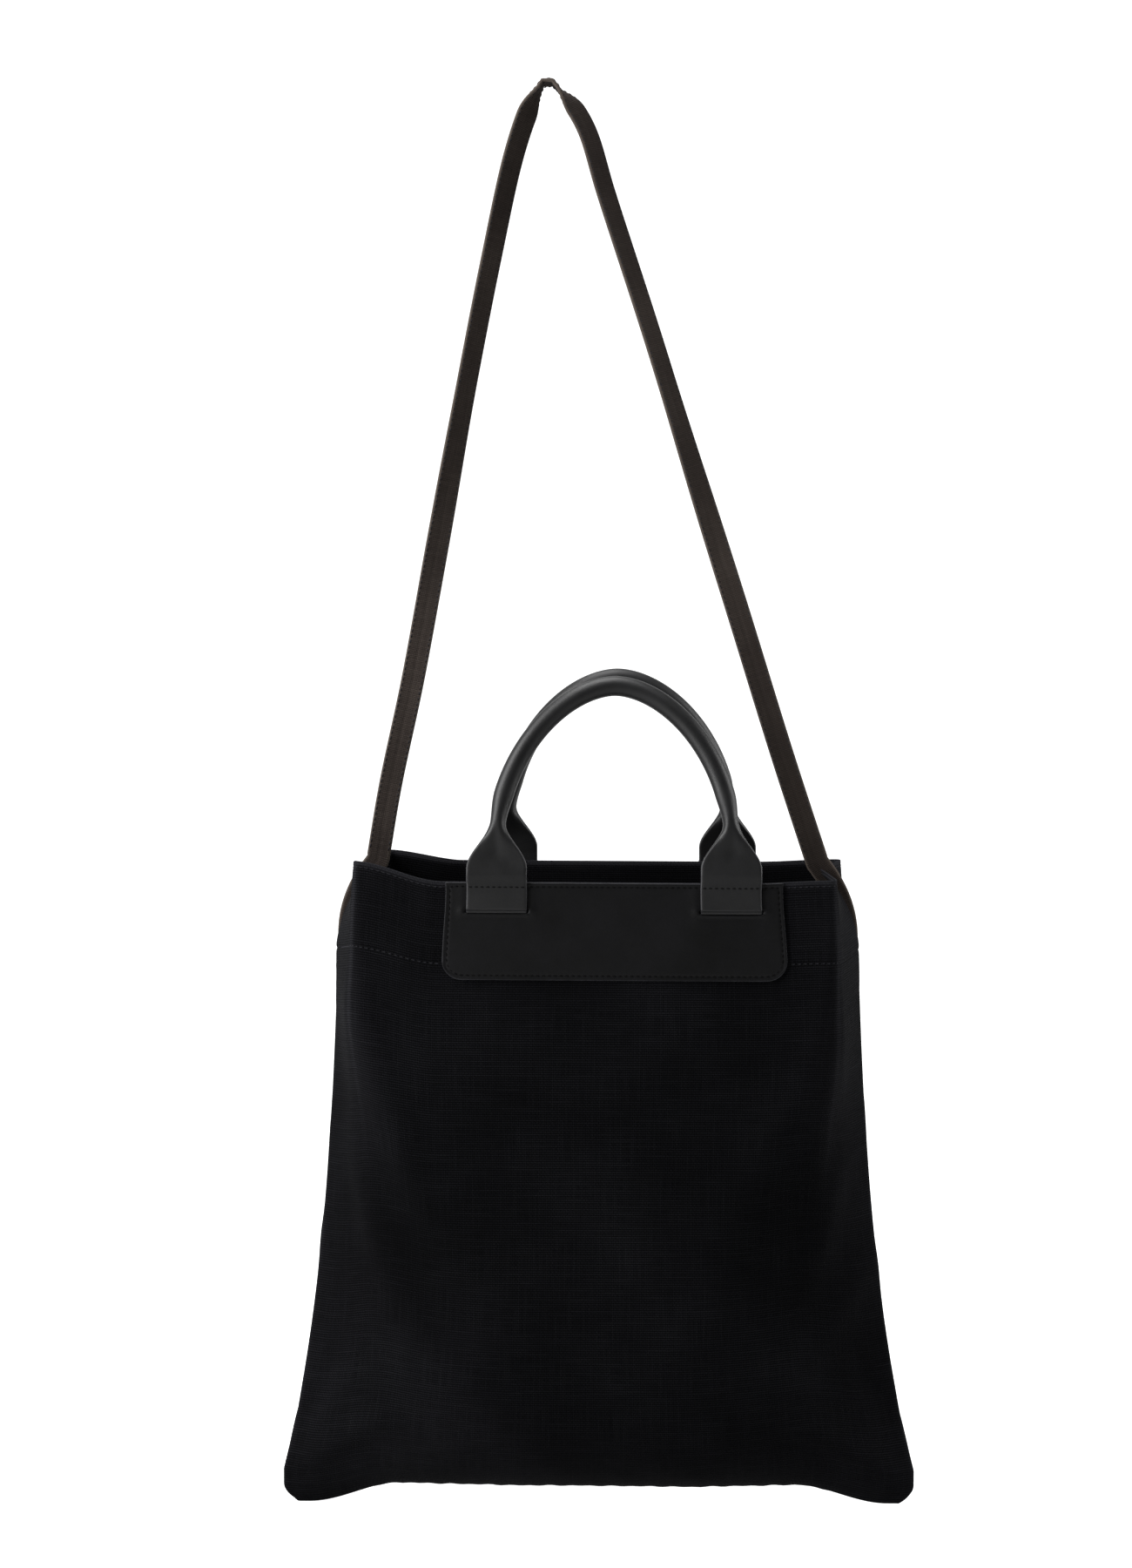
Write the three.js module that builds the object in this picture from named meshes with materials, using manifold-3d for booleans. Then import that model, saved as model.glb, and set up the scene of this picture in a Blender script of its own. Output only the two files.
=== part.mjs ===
// A canvas tote bag: two flat canvas panels sewn together at the sides and the bottom, a leather
// patch and a rolled leather handle on each face, and a narrow shoulder strap whose ends are caught
// in the side seams. Millimetres, +X to the right, +Y from the front face to the back one, +Z up.
// Every soft piece is worked out on one surface, the outside of the lightly filled bag, and lies
// at its own distance from that surface.
import * as THREE from 'three';
import { mergeVertices } from 'three/addons/utils/BufferGeometryUtils.js';
import Module from 'manifold-3d';

const wasm = await Module();
wasm.setup();

// ---------------------------------------------------------------- driving dimensions
const GAP = 0.3; // free space between two pieces that touch on the real bag
const CANVAS = 1.0; // heavy cotton canvas
const LEATHER = 1.4;
const THREAD = 0.5; // how proud a row of stitching stands
const ROW = 0.8; // height of a row of stitching

const RIM_HEIGHT = 391; // mouth above the right bottom corner, at the middle of a face
const HEM_DEPTH = 48; // turned-in facing round the mouth
const FACING_THICK = 0.8;
const FACING_END = 0.95; // share of the half girth that the facing covers
const MOUTH_DEPTH = 84; // front face to back face at the mouth
const BELLY = 5.5; // how far each face bulges past the mouth's depth
const FACE_HALF = 145.5; // middle of a face to its front or back corner, at the mouth
const FACE_SHRINK = 50; // how much shorter that is low down, where the sides are wider
const SEAM_HALF = 157; // side seam from the middle, below the mouth
const SEAM_FLARE = 42; // how fast it moves out below that: as exp(-height / decay)
const SEAM_FLARE_DECAY = 150;
const SEAM_FLARE_MOST = 39.5; // how far the bottom corners stick out past it
const SEAM_PINCH = 22; // how far the side seam is folded in at the mouth
const SEAM_PINCH_FROM = 340;
const CORNER_BLUNT = 8.5; // the rounding of the two bottom corners
const CORNER_HEIGHT = 11;
const SEAM_RIM_HEIGHT = 394;
const RIM_FOLD = 0.77; // share of the half girth at which the rim's corners stand
const RIM_RISE_FROM = 0.48; // and from which the rim starts to rise to them
const CORNER_LIFT = { right: 2, frontLeft: 12, backLeft: 6.5 }; // corners of the rim above its middle
const BOTTOM_LIFT = 12.5; // the bottom seam above the line between its two corners
const BOTTOM_SLOPE = 6; // the left corner hangs this much lower than the right one
const BOTTOM_CORNER = { from: 0.64, to: 0.955 }; // where the bottom seam goes down to its corners
const BOTTOM_ROUND = 0.2; // share of the height over which the bottom closes
const FOLDS_FORM = { from: 0.2, to: 0.79 }; // share of the height over which the faces widen
const BACK_FOLD_SHIFT = 9.5; // the back face's two folds stand this far to the right of the front's
const BACK_SHIFT_FORMS = { from: 0.5, to: 0.8 };
const FOLD_RADIUS = 6; // rounding of the corner folds at the mouth
const FOLD_SOFTENING = 50; // and how much rounder they are at the bottom
const FOLDS_SHARPEN = { from: 0.25, to: 0.95 };
const FOLD_MOST = 0.8; // of the side's length that a fold's rounding may take

const STRAP_WIDTH = 14.4;
const STRAP_THICK = 2.4;
const STRAP_OPENS = { from: 0.84, to: 0.875 }; // the panels part over this share of the height
const STRAP_TAIL = 46; // sewn-in length below the mouth
const STRAP_APEX = { x: -30, z: 876, flat: 6 }; // the stretch that bears on what holds the bag
const STRAP_TWIST_LENGTH = 26; // the strap turns to edge-on over this length below its top
const STRAP_SLACK_TURN = { angle: 0.66, from: 540, to: 700 }; // and a little already over these heights
const STRAP_PIVOT_Z = 396;
const STRAP_FOOT_Z = STRAP_PIVOT_Z + 1.6;
const STRAP_SEAM_X = 136;

const FITTING_X = 12; // patches and handles sit this far to the right of the middle
const PATCH_HALF = 101;
const PATCH_HEIGHT = 57.5;
const PATCH_RADIUS = 12;
const BORDER_INSET = 2.6; // stitching from the edge of the leather
const TAB_HALF = 18.2;
const TAB_SPACING = 140; // between the middles of a handle's two ends
const TAB_DEPTH = 16.4; // from the rim down to the slit that the end goes into
const TAB_THICK = 2.2;
const SLIT_HEIGHT = 2.6;
const SLIT_ABOVE = 1; // how far the slit reaches up behind the handle's end
const SLIT_HALF = TAB_HALF + 0.8;

const GRIP_RADIUS = 6.2; // the rolled part of a handle
const GRIP_RISE = { front: 87, back: 89 }; // top of the arch above its springing
const GRIP_SPRING_Z = 420;
const GRIP_ARCH_POWER = 1.8; // between a parabola's nose and an ellipse's
const GRIP_FOOT_Z = 396.5;
const GRIP_LEAN = { front: 30, back: 14 }; // how far the top leans over the mouth
const NECK_Z = 428;
const NECK = { across: 4.3, deep: 6.2, above: 3, length: 16 }; // half sizes, and heights it takes
const LEAN_POWER = 1.1;
const CORE_RADIUS = 4.3;
const SEAM_GAP_ANGLE = 0.07; // half the opening of the rolled leather's seam, in radians
const SEAM_ANGLE = 0.88 * Math.PI; // where that seam is, from the outside of the arch: beneath it

// ---------------------------------------------------------------- small helpers
const clamp01 = (t) => Math.min(1, Math.max(0, t));
const mix = (a, b, t) => a + (b - a) * t;

/** 0 before a, 1 after b and a smooth rise between. */
function rise(a, b, t) {
  const u = clamp01((t - a) / (b - a));
  return u * u * (3 - 2 * u);
}

/** The same over a range with a from and a to. */
const riseOver = (range, t) => rise(range.from, range.to, t);

/** A closed solid: a unit box cut into na by nb by nc cells whose corners go to place(a, b, c). */
function warpedBox(na, nb, nc, place) {
  const box = new THREE.BoxGeometry(1, 1, 1, na, nb, nc);
  box.deleteAttribute('normal');
  box.deleteAttribute('uv');
  const solid = mergeVertices(box, 1e-5);
  const corners = solid.getAttribute('position');
  for (let i = 0; i < corners.count; i += 1) {
    const p = place(corners.getX(i) + 0.5, corners.getY(i) + 0.5, corners.getZ(i) + 0.5);
    corners.setXYZ(i, p.x, p.y, p.z);
  }
  return solid;
}

/** A geometry as a manifold-3d solid. */
function toSolid(geometry) {
  return new wasm.Manifold(new wasm.Mesh({
    numProp: 3,
    vertProperties: new Float32Array(geometry.getAttribute('position').array),
    triVerts: new Uint32Array(geometry.index.array),
  }));
}

/** A manifold-3d solid as a geometry. */
function fromSolid(solid) {
  const mesh = solid.getMesh();
  const geometry = new THREE.BufferGeometry();
  geometry.setAttribute('position', new THREE.BufferAttribute(mesh.vertProperties, 3));
  geometry.setIndex(new THREE.BufferAttribute(mesh.triVerts, 1));
  return geometry;
}

const bag = new THREE.Group();

/** Adds one named piece with its own material. */
function addPiece(name, geometry, finish) {
  geometry.computeVertexNormals();
  const mesh = new THREE.Mesh(geometry, new THREE.MeshStandardMaterial(finish));
  mesh.name = name;
  bag.add(mesh);
}

const CANVAS_FINISH = { color: 0x0c0c0e, roughness: 0.95, metalness: 0 };
const STRAP_FINISH = { color: 0x1a1716, roughness: 0.92, metalness: 0 };
const LEATHER_FINISH = { color: 0x1a1a1d, roughness: 0.45, metalness: 0 };
const THREAD_FINISH = { color: 0x101011, roughness: 0.8, metalness: 0 };
const CORE_FINISH = { color: 0xb9b2a2, roughness: 0.9, metalness: 0 };

// ---------------------------------------------------------------- the outside of the filled bag
// side is -1 on the front and 1 on the back. across runs from -1 at the left seam to 1 at the
// right one, and up from 0 at the bottom seam to 1 at the rim.

/** Distance of the side seam from the middle, at a height above the bottom corners. */
function seamX(z) {
  const flare = SEAM_FLARE * Math.exp(-(z - CORNER_HEIGHT) / SEAM_FLARE_DECAY);
  const pinch = clamp01((z - SEAM_PINCH_FROM) / (SEAM_RIM_HEIGHT - SEAM_PINCH_FROM)) ** 2.2;
  const blunt = clamp01(1 - z / CORNER_HEIGHT) ** 2;
  return SEAM_HALF + Math.min(flare, SEAM_FLARE_MOST) - SEAM_PINCH * pinch - CORNER_BLUNT * blunt;
}

/** Half the distance between the two faces. */
function halfDepth(up) {
  const closing = clamp01(up / BOTTOM_ROUND);
  return (MOUTH_DEPTH / 2 + BELLY * Math.sin(Math.PI * up)) * Math.sqrt(1 - (1 - closing) ** 2);
}

/** Distance from the middle to the soft fold where a face turns into a side. hand is -1 or 1. */
function foldX(side, hand, up) {
  const shift = side > 0 ? hand * BACK_FOLD_SHIFT * riseOver(BACK_SHIFT_FORMS, up) : 0;
  return FACE_HALF + shift - FACE_SHRINK * (1 - riseOver(FOLDS_FORM, up));
}

/** Height of the bottom seam. */
function seamLift(across) {
  const lift = BOTTOM_LIFT * (1 - riseOver(BOTTOM_CORNER, Math.abs(across)));
  return lift - (BOTTOM_SLOPE * (1 - across)) / 2;
}

/** Height of the rim: the left corners are drawn up by the strap. */
function rimHeight(side, across) {
  const reach = Math.abs(across);
  const leftLift = side < 0 ? CORNER_LIFT.frontLeft : CORNER_LIFT.backLeft;
  const cornerLift = across < 0 ? leftLift : CORNER_LIFT.right;
  if (reach < RIM_FOLD) return RIM_HEIGHT + cornerLift * rise(RIM_RISE_FROM, RIM_FOLD, reach);
  return mix(RIM_HEIGHT + cornerLift, SEAM_RIM_HEIGHT, (reach - RIM_FOLD) / (1 - RIM_FOLD));
}

/** Half the space between the two panels at the side seam: wider where the strap is caught. */
const seamSpace = (up) => GAP / 2 + (STRAP_THICK / 2 + GAP / 2) * riseOver(STRAP_OPENS, up);

/** A point of the outside surface, before any distance from it is added. */
function surfacePoint(side, across, up) {
  const low = seamLift(across);
  const z = low + (rimHeight(side, across) - low) * up;
  const seam = seamX(SEAM_RIM_HEIGHT * up);
  const depth = halfDepth(up);
  const edge = seamSpace(up) + CANVAS;
  const fold = foldX(side, Math.sign(across), up);
  const sideLength = Math.hypot(seam - fold, depth);
  const softened = FOLD_RADIUS + FOLD_SOFTENING * (1 - riseOver(FOLDS_SHARPEN, up));
  const round = Math.min(softened, FOLD_MOST * sideLength);
  const travel = Math.abs(across) * (fold + sideLength);
  const onSide = clamp01((travel - fold) / sideLength);
  let x = travel < fold ? travel : mix(fold, seam, onSide);
  let share = 1 - onSide;
  if (Math.abs(travel - fold) < round) {
    const t = (travel - fold + round) / (2 * round);
    const end = round / sideLength;
    x = (1 - t) ** 2 * (fold - round) + 2 * t * (1 - t) * fold + t ** 2 * mix(fold, seam, end);
    share = 1 - t ** 2 * end;
  }
  const y = edge + Math.max(depth - edge, 0) * share;
  return new THREE.Vector3(Math.sign(across) * x, side * y, z);
}

/** A point at a distance outside that surface, kept on its own side of the seam plane. */
function panelPoint(side, across, up, out) {
  const step = 0.004;
  const a = Math.min(Math.max(across, step - 1), 1 - step);
  const u = Math.min(Math.max(up, step), 1 - step);
  const along = surfacePoint(side, a + step, u).sub(surfacePoint(side, a - step, u));
  const upward = surfacePoint(side, a, u + step).sub(surfacePoint(side, a, u - step));
  const normal = along.cross(upward).normalize().multiplyScalar(-side);
  const point = surfacePoint(side, across, up).addScaledVector(normal, out);
  const nearest = seamSpace(up);
  if (point.y * side < nearest) point.y = side * nearest;
  return point;
}

/** The share of the half girth that a distance from the middle of a face is, near the mouth. */
function girth(side, distance) {
  const fold = foldX(side, Math.sign(distance), 1);
  return distance / (fold + Math.hypot(fold - STRAP_SEAM_X, MOUTH_DEPTH / 2));
}

/** The share of the height that a distance below the rim is. */
const below = (distance) => 1 - distance / (RIM_HEIGHT - seamLift(0));

// The columns and rows that the canvas is divided into: close together at the folds, along the
// bottom and at the mouth. Whatever lies on the canvas keeps to them, so the two stay parallel.
const HALF_COLUMNS = [0, 0.25, 0.5, 0.61, 0.7, 0.745, 0.772, 0.8, 0.85, 0.92, 1];
const COLUMNS = [...HALF_COLUMNS.slice(1).reverse().map((c) => -c), ...HALF_COLUMNS];
const RIM_ROWS = [6, 5, 4, 3, 2, 1, 0].map((k) => below((k * HEM_DEPTH) / 6));
const ROWS = [0, 0.012, 0.035, 0.075, 0.13, 0.2, 0.33, 0.48, 0.63, 0.76, ...RIM_ROWS];

/** Both ends of a range and the division lines between them. */
const divisions = (lines, from, to) => [from, ...lines.filter((t) => t > from + 1e-3 && t < to - 1e-3), to];

/** A sheet on the surface, between two distances from it, over given columns and rows. */
function sheet(side, columns, rows, [inner, outer]) {
  return warpedBox(columns.length - 1, 1, rows.length - 1, (a, b, c) => {
    const out = side < 0 ? mix(outer, inner, b) : mix(inner, outer, b);
    const column = columns[Math.round(a * (columns.length - 1))];
    return panelPoint(side, column, rows[Math.round(c * (rows.length - 1))], out);
  });
}

// ---------------------------------------------------------------- canvas body
const SIDES = [{ name: 'front', side: -1 }, { name: 'back', side: 1 }];

for (const { name, side } of SIDES) {
  addPiece(`${name}_panel`, sheet(side, COLUMNS, ROWS, [-CANVAS, 0]), CANVAS_FINISH);
  const facingColumns = COLUMNS.filter((t) => Math.abs(t) < FACING_END);
  const inside = [-CANVAS - 4 * GAP - FACING_THICK, -CANVAS - 4 * GAP];
  addPiece(`${name}_facing`, sheet(side, facingColumns, RIM_ROWS, inside), CANVAS_FINISH);
}

/** A strip of tape on the inside of a seam, from near to far of the seam line. */
const BINDING = { thick: 1.2, near: 3.5, far: 12, from: 45, to: 338 };

for (const [name, hand] of [['left', -1], ['right', 1]]) {
  const strip = warpedBox(1, 1, 12, (a, b, c) => {
    const z = mix(BINDING.from, BINDING.to, c);
    const inward = hand > 0 ? mix(BINDING.far, BINDING.near, a) : mix(BINDING.near, BINDING.far, a);
    return new THREE.Vector3(hand * (seamX(z) - inward), (b - 0.5) * BINDING.thick, z);
  });
  addPiece(`${name}_seam_binding`, strip, CANVAS_FINISH);
}

const BOTTOM_BINDING_HALF = 150;
const bottomBinding = warpedBox(24, 1, 1, (a, b, c) => {
  const x = mix(-BOTTOM_BINDING_HALF, BOTTOM_BINDING_HALF, a);
  const z = seamLift(x / seamX(CORNER_HEIGHT)) + mix(BINDING.near, BINDING.far, c);
  return new THREE.Vector3(x, (b - 0.5) * BINDING.thick, z);
});
addPiece('bottom_seam_binding', bottomBinding, CANVAS_FINISH);

// ---------------------------------------------------------------- leather patches
const PATCH_OUT = GAP + LEATHER;
const PATCH_TOP = 0.4; // below the rim

/** How far below the rim the patch ends, at a distance from its own middle. */
function patchBottom(distance, inset = 0) {
  const radius = PATCH_RADIUS - inset;
  const into = Math.max(Math.abs(distance) - (PATCH_HALF - PATCH_RADIUS), 0);
  return PATCH_HEIGHT - inset - radius + Math.sqrt(Math.max(radius ** 2 - into ** 2, 0));
}

const CORNER_SHARE = 0.2; // share of the patch's columns that stand over each rounded corner

/** Where along the patch its columns stand: close together over the rounded corners. */
function patchColumn(a) {
  const straight = PATCH_HALF - PATCH_RADIUS;
  const fromEnd = Math.min(a, 1 - a);
  const hand = a < 0.5 ? -1 : 1;
  if (fromEnd > CORNER_SHARE) {
    return mix(-straight, straight, (a - CORNER_SHARE) / (1 - 2 * CORNER_SHARE));
  }
  const turn = (fromEnd / CORNER_SHARE) * (Math.PI / 2);
  return hand * (straight + PATCH_RADIUS * Math.cos(turn));
}

const TAB_ENDS = [['left', FITTING_X - TAB_SPACING / 2], ['right', FITTING_X + TAB_SPACING / 2]];

for (const { name, side } of SIDES) {
  const blank = warpedBox(25, 1, 4, (a, b, c) => {
    const x = patchColumn(a);
    const out = side < 0 ? mix(PATCH_OUT, GAP, b) : mix(GAP, PATCH_OUT, b);
    const height = below(mix(patchBottom(x), PATCH_TOP, c));
    return panelPoint(side, girth(side, FITTING_X + x), height, out);
  });
  let leather = toSolid(blank);
  for (const [, x] of TAB_ENDS) {
    const slit = warpedBox(1, 1, 1, (a, b, c) => {
      const across = girth(side, mix(x - SLIT_HALF, x + SLIT_HALF, a));
      const height = below(TAB_DEPTH - SLIT_ABOVE + mix(SLIT_HEIGHT, 0, c));
      const reach = 2 * PATCH_OUT;
      return panelPoint(side, across, height, side < 0 ? mix(reach, -reach, b) : mix(-reach, reach, b));
    });
    leather = leather.subtract(toSolid(slit));
  }
  addPiece(`${name}_patch`, fromSolid(leather), LEATHER_FINISH);
}

// ---------------------------------------------------------------- sewn ends of the handles
const TAB_BACK = PATCH_OUT + GAP;
const TAB_FRONT = TAB_BACK + TAB_THICK;
const TAB_TOP = 0.6; // below the rim
const TONGUE = 1.6; // height of the part that goes through the slit

for (const { name, side } of SIDES) {
  for (const [hand, x] of TAB_ENDS) {
    // Rows from the bottom: the tongue reaches back through the slit, the rest lies on the patch.
    const tongueTop = TAB_DEPTH - 0.2;
    const rows = [tongueTop + TONGUE, tongueTop, tongueTop - 0.4, TAB_TOP];
    const backs = [GAP, GAP, TAB_BACK, TAB_BACK];
    const plate = warpedBox(4, 1, 3, (a, b, c) => {
      const row = Math.round(c * 3);
      const out = side < 0 ? mix(TAB_FRONT, backs[row], b) : mix(backs[row], TAB_FRONT, b);
      return panelPoint(side, girth(side, mix(x - TAB_HALF, x + TAB_HALF, a)), below(rows[row]), out);
    });
    addPiece(`${name}_tab_${hand}`, plate, LEATHER_FINISH);
  }
}

// ---------------------------------------------------------------- rolled handles
/** The middle of the handle at t from 0 at the left end to 1 at the right end. */
function gripPoint(side, t) {
  const face = side < 0 ? 'front' : 'back';
  const foot = (GRIP_SPRING_Z - GRIP_FOOT_Z) / GRIP_RISE[face] / 3;
  const s = Math.abs(2 * t - 1); // 0 at the top, 1 at the end
  const hand = t < 0.5 ? -1 : 1;
  const angle = Math.min(s / (1 - foot), 1) * Math.PI / 2;
  const straight = Math.max((s - 1 + foot) / foot, 0);
  const x = (TAB_SPACING / 2) * Math.sin(angle) ** (2 / GRIP_ARCH_POWER);
  const rising = Math.max(Math.cos(angle), 0) ** (2 / GRIP_ARCH_POWER);
  const z = mix(GRIP_SPRING_Z + GRIP_RISE[face] * rising, GRIP_FOOT_Z, straight);
  const leant = (z - GRIP_FOOT_Z) / (GRIP_SPRING_Z + GRIP_RISE[face] - GRIP_FOOT_Z);
  const y = MOUTH_DEPTH / 2 + TAB_BACK + TAB_THICK / 2 - GRIP_LEAN[face] * leant ** LEAN_POWER;
  return new THREE.Vector3(FITTING_X + hand * x, side * y, z);
}

/** The handle's frame at t: its middle, the way out of the arch and the way to the back. */
function gripFrame(side, t) {
  const step = 0.003;
  const middle = gripPoint(side, t);
  const ahead = gripPoint(side, Math.min(t + step, 1)).sub(gripPoint(side, Math.max(t - step, 0)));
  ahead.normalize();
  const back = new THREE.Vector3(0, 1, 0);
  back.addScaledVector(ahead, -back.dot(ahead)).normalize();
  const outward = new THREE.Vector3().crossVectors(ahead, back);
  return { middle, outward, back };
}

/** Half sizes of the handle at a height: flat end, narrow neck, then round. */
function gripHalves(z) {
  const neck = rise(GRIP_FOOT_Z + NECK.above, NECK_Z, z);
  const grip = rise(NECK_Z, NECK_Z + NECK.length, z);
  return {
    across: mix(mix(TAB_HALF, NECK.across, neck), GRIP_RADIUS, grip),
    deep: mix(mix(TAB_THICK / 2, NECK.deep, neck ** 1.5), GRIP_RADIUS, grip),
  };
}

const GRIP_FACETS = 10;
const GRIP_STEPS = 29;

/** Rolled leather: a ring of leather that is open along its seam, swept along the handle. */
function rolledLeather(side) {
  return warpedBox(GRIP_STEPS, GRIP_FACETS, 1, (a, b, c) => {
    const { middle, outward, back } = gripFrame(side, a);
    const halves = gripHalves(middle.z);
    const wall = 1 - c; // c is 1 on the outside of the leather
    const flesh = Math.min(LEATHER, halves.deep - 0.2);
    const angle = -side * SEAM_ANGLE + mix(SEAM_GAP_ANGLE, 2 * Math.PI - SEAM_GAP_ANGLE, b);
    const x = (halves.across - wall * LEATHER) * Math.cos(angle);
    const y = (halves.deep - wall * flesh) * Math.sin(angle);
    return middle.clone().addScaledVector(outward, x).addScaledVector(back, y);
  });
}

/** The cord that the leather is rolled round, between the two necks. */
function gripCore(side) {
  const clear = 0.19; // share of the handle at each end that has no cord in it
  return warpedBox(17, 2, 2, (a, b, c) => {
    const { middle, outward, back } = gripFrame(side, mix(clear, 1 - clear, a));
    const from = new THREE.Vector2(2 * b - 1, 2 * c - 1);
    const square = Math.max(Math.abs(from.x), Math.abs(from.y));
    from.setLength(from.length() > 0 ? CORE_RADIUS * square : 0);
    return middle.addScaledVector(back, from.x).addScaledVector(outward, from.y);
  });
}

for (const { name, side } of SIDES) {
  addPiece(`${name}_handle`, rolledLeather(side), LEATHER_FINISH);
  addPiece(`${name}_handle_core`, gripCore(side), CORE_FINISH);
}

// ---------------------------------------------------------------- shoulder strap
// The two legs as [x, z] places that the strap hangs through.
const LEFT_LEG = [[-STRAP_SEAM_X, STRAP_FOOT_Z], [-128, 444], [-114, 509], [-98, 595], [-82, 682],
  [-65, 768], [-50.5, 833], [-40.5, 862], [STRAP_APEX.x - STRAP_APEX.flat / 2, STRAP_APEX.z]];
const RIGHT_LEG = [[STRAP_APEX.x + STRAP_APEX.flat / 2, STRAP_APEX.z], [-16, 864], [-6, 847],
  [6, 808], [33, 725], [60, 638], [87, 552], [114, 465], [STRAP_SEAM_X, STRAP_FOOT_Z]];
const LEG_STEPS = 30;

/** Evenly spaced points of one leg of the strap. */
function legPoints(places) {
  const curve = new THREE.CatmullRomCurve3(places.map(([x, z]) => new THREE.Vector3(x, 0, z)));
  return curve.getSpacedPoints(LEG_STEPS);
}

const strapPoints = [...legPoints(LEFT_LEG), ...legPoints(RIGHT_LEG)];
const LAST = strapPoints.length - 1;

/** How far the strap is turned about its own length: half a turn from one leg to the other. */
function strapTurn(i) {
  const point = strapPoints[i];
  const fromApex = point.distanceTo(new THREE.Vector3(STRAP_APEX.x, 0, STRAP_APEX.z));
  const slack = STRAP_SLACK_TURN.angle * riseOver(STRAP_SLACK_TURN, point.z);
  const edgeOn = mix(Math.PI / 2, slack, rise(STRAP_APEX.flat, STRAP_TWIST_LENGTH, fromApex));
  return i <= LEG_STEPS ? edgeOn : Math.PI - edgeOn;
}

/** The direction of the strap's line at a point: level over its top. */
function strapAhead(i) {
  if (i === LEG_STEPS || i === LEG_STEPS + 1) return new THREE.Vector3(1, 0, 0);
  return strapPoints[Math.min(i + 1, LAST)].clone().sub(strapPoints[Math.max(i - 1, 0)]).normalize();
}

const strap = warpedBox(LAST, 1, 1, (a, b, c) => {
  const i = Math.round(a * LAST);
  const ahead = strapAhead(i);
  const turn = strapTurn(i);
  const outward = new THREE.Vector3(-ahead.z, 0, ahead.x);
  const front = new THREE.Vector3(0, -1, 0);
  const wide = outward.clone().multiplyScalar(Math.cos(turn)).addScaledVector(front, Math.sin(turn));
  const thin = front.multiplyScalar(Math.cos(turn)).addScaledVector(outward, -Math.sin(turn));
  return strapPoints[i].clone()
    .addScaledVector(thin, (0.5 - b) * STRAP_THICK)
    .addScaledVector(wide, (c - 0.5) * STRAP_WIDTH);
});
addPiece('shoulder_strap', strap, STRAP_FINISH);

for (const [name, hand] of [['left', -1], ['right', 1]]) {
  const top = SEAM_RIM_HEIGHT - STRAP_THICK / 2;
  const tail = warpedBox(1, 1, 6, (a, b, c) => {
    const z = mix(top - STRAP_TAIL, top, c);
    const middle = hand * (seamX(z) - mix(STRAP_WIDTH / 2 + 1, 0, c));
    return new THREE.Vector3(middle + (a - 0.5) * STRAP_WIDTH, (b - 0.5) * STRAP_THICK, z);
  });
  addPiece(`strap_tail_${name}`, tail, STRAP_FINISH);
}

// ---------------------------------------------------------------- rows of stitching
const ON_CANVAS = [2 * GAP, 2 * GAP + THREAD];
const ON_PATCH = [PATCH_OUT + GAP, PATCH_OUT + GAP + THREAD];
const ON_TAB = [TAB_FRONT + GAP, TAB_FRONT + GAP + THREAD];
const RIM_ROW = 2.6; // rim stitching below the rim

/** A straight row of stitching between two distances from the middle, at a depth below the rim. */
function stitchRow(side, from, to, depth, layer) {
  const columns = divisions(COLUMNS, girth(side, from), girth(side, to));
  return sheet(side, columns, [below(depth + ROW), below(depth)], layer);
}

/** The row round a patch: from one handle end, down and under, to the other handle end. */
function borderRow(side) {
  const half = PATCH_HALF - BORDER_INSET;
  const straight = PATCH_HALF - PATCH_RADIUS;
  const topEnd = TAB_SPACING / 2 + TAB_HALF + 1;
  const radius = PATCH_RADIUS - BORDER_INSET;
  const outline = new THREE.Path();
  outline.moveTo(-topEnd, -RIM_ROW);
  outline.lineTo(-half, -RIM_ROW);
  outline.lineTo(-half, -(PATCH_HEIGHT - PATCH_RADIUS));
  outline.absarc(-straight, -(PATCH_HEIGHT - PATCH_RADIUS), radius, Math.PI, 1.5 * Math.PI);
  outline.lineTo(straight, -(PATCH_HEIGHT - BORDER_INSET));
  outline.absarc(straight, -(PATCH_HEIGHT - PATCH_RADIUS), radius, 1.5 * Math.PI, 2 * Math.PI);
  outline.lineTo(half, -RIM_ROW);
  outline.lineTo(topEnd, -RIM_ROW);
  const points = outline.getPoints(4);
  const last = points.length - 1;
  const across = (i) => {
    const run = points[i + 1].clone().sub(points[i]);
    return new THREE.Vector2(-run.y, run.x).normalize();
  };
  return warpedBox(last, 1, 1, (a, b, c) => {
    const i = Math.round(a * last);
    const mitre = across(Math.max(i - 1, 0)).add(across(Math.min(i, last - 1)));
    mitre.multiplyScalar(2 / mitre.lengthSq());
    const p = points[i].clone().addScaledVector(mitre, (c - 0.5) * ROW);
    const out = side < 0 ? mix(ON_PATCH[1], ON_PATCH[0], b) : mix(ON_PATCH[0], ON_PATCH[1], b);
    return panelPoint(side, girth(side, FITTING_X + p.x), below(-p.y), out);
  });
}

const SEWN_GIRTH = 0.92; // share of the half girth that the rows round the mouth reach
const TOP_ROW = RIM_ROW - ROW / 2;

/** The rows on the canvas round the mouth, on both sides of the patch. */
function mouthRows(side) {
  const patchLeft = FITTING_X - PATCH_HALF - 1;
  const patchRight = FITTING_X + PATCH_HALF + 1;
  const seamEnd = (hand) => (hand * SEWN_GIRTH) / Math.abs(girth(side, hand));
  return [['hem', HEM_DEPTH], ['rim', RIM_ROW]].flatMap(([row, depth]) => [
    [`${row}_thread_left`, stitchRow(side, seamEnd(-1), patchLeft, depth, ON_CANVAS)],
    [`${row}_thread_right`, stitchRow(side, patchRight, seamEnd(1), depth, ON_CANVAS)],
  ]);
}

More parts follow.
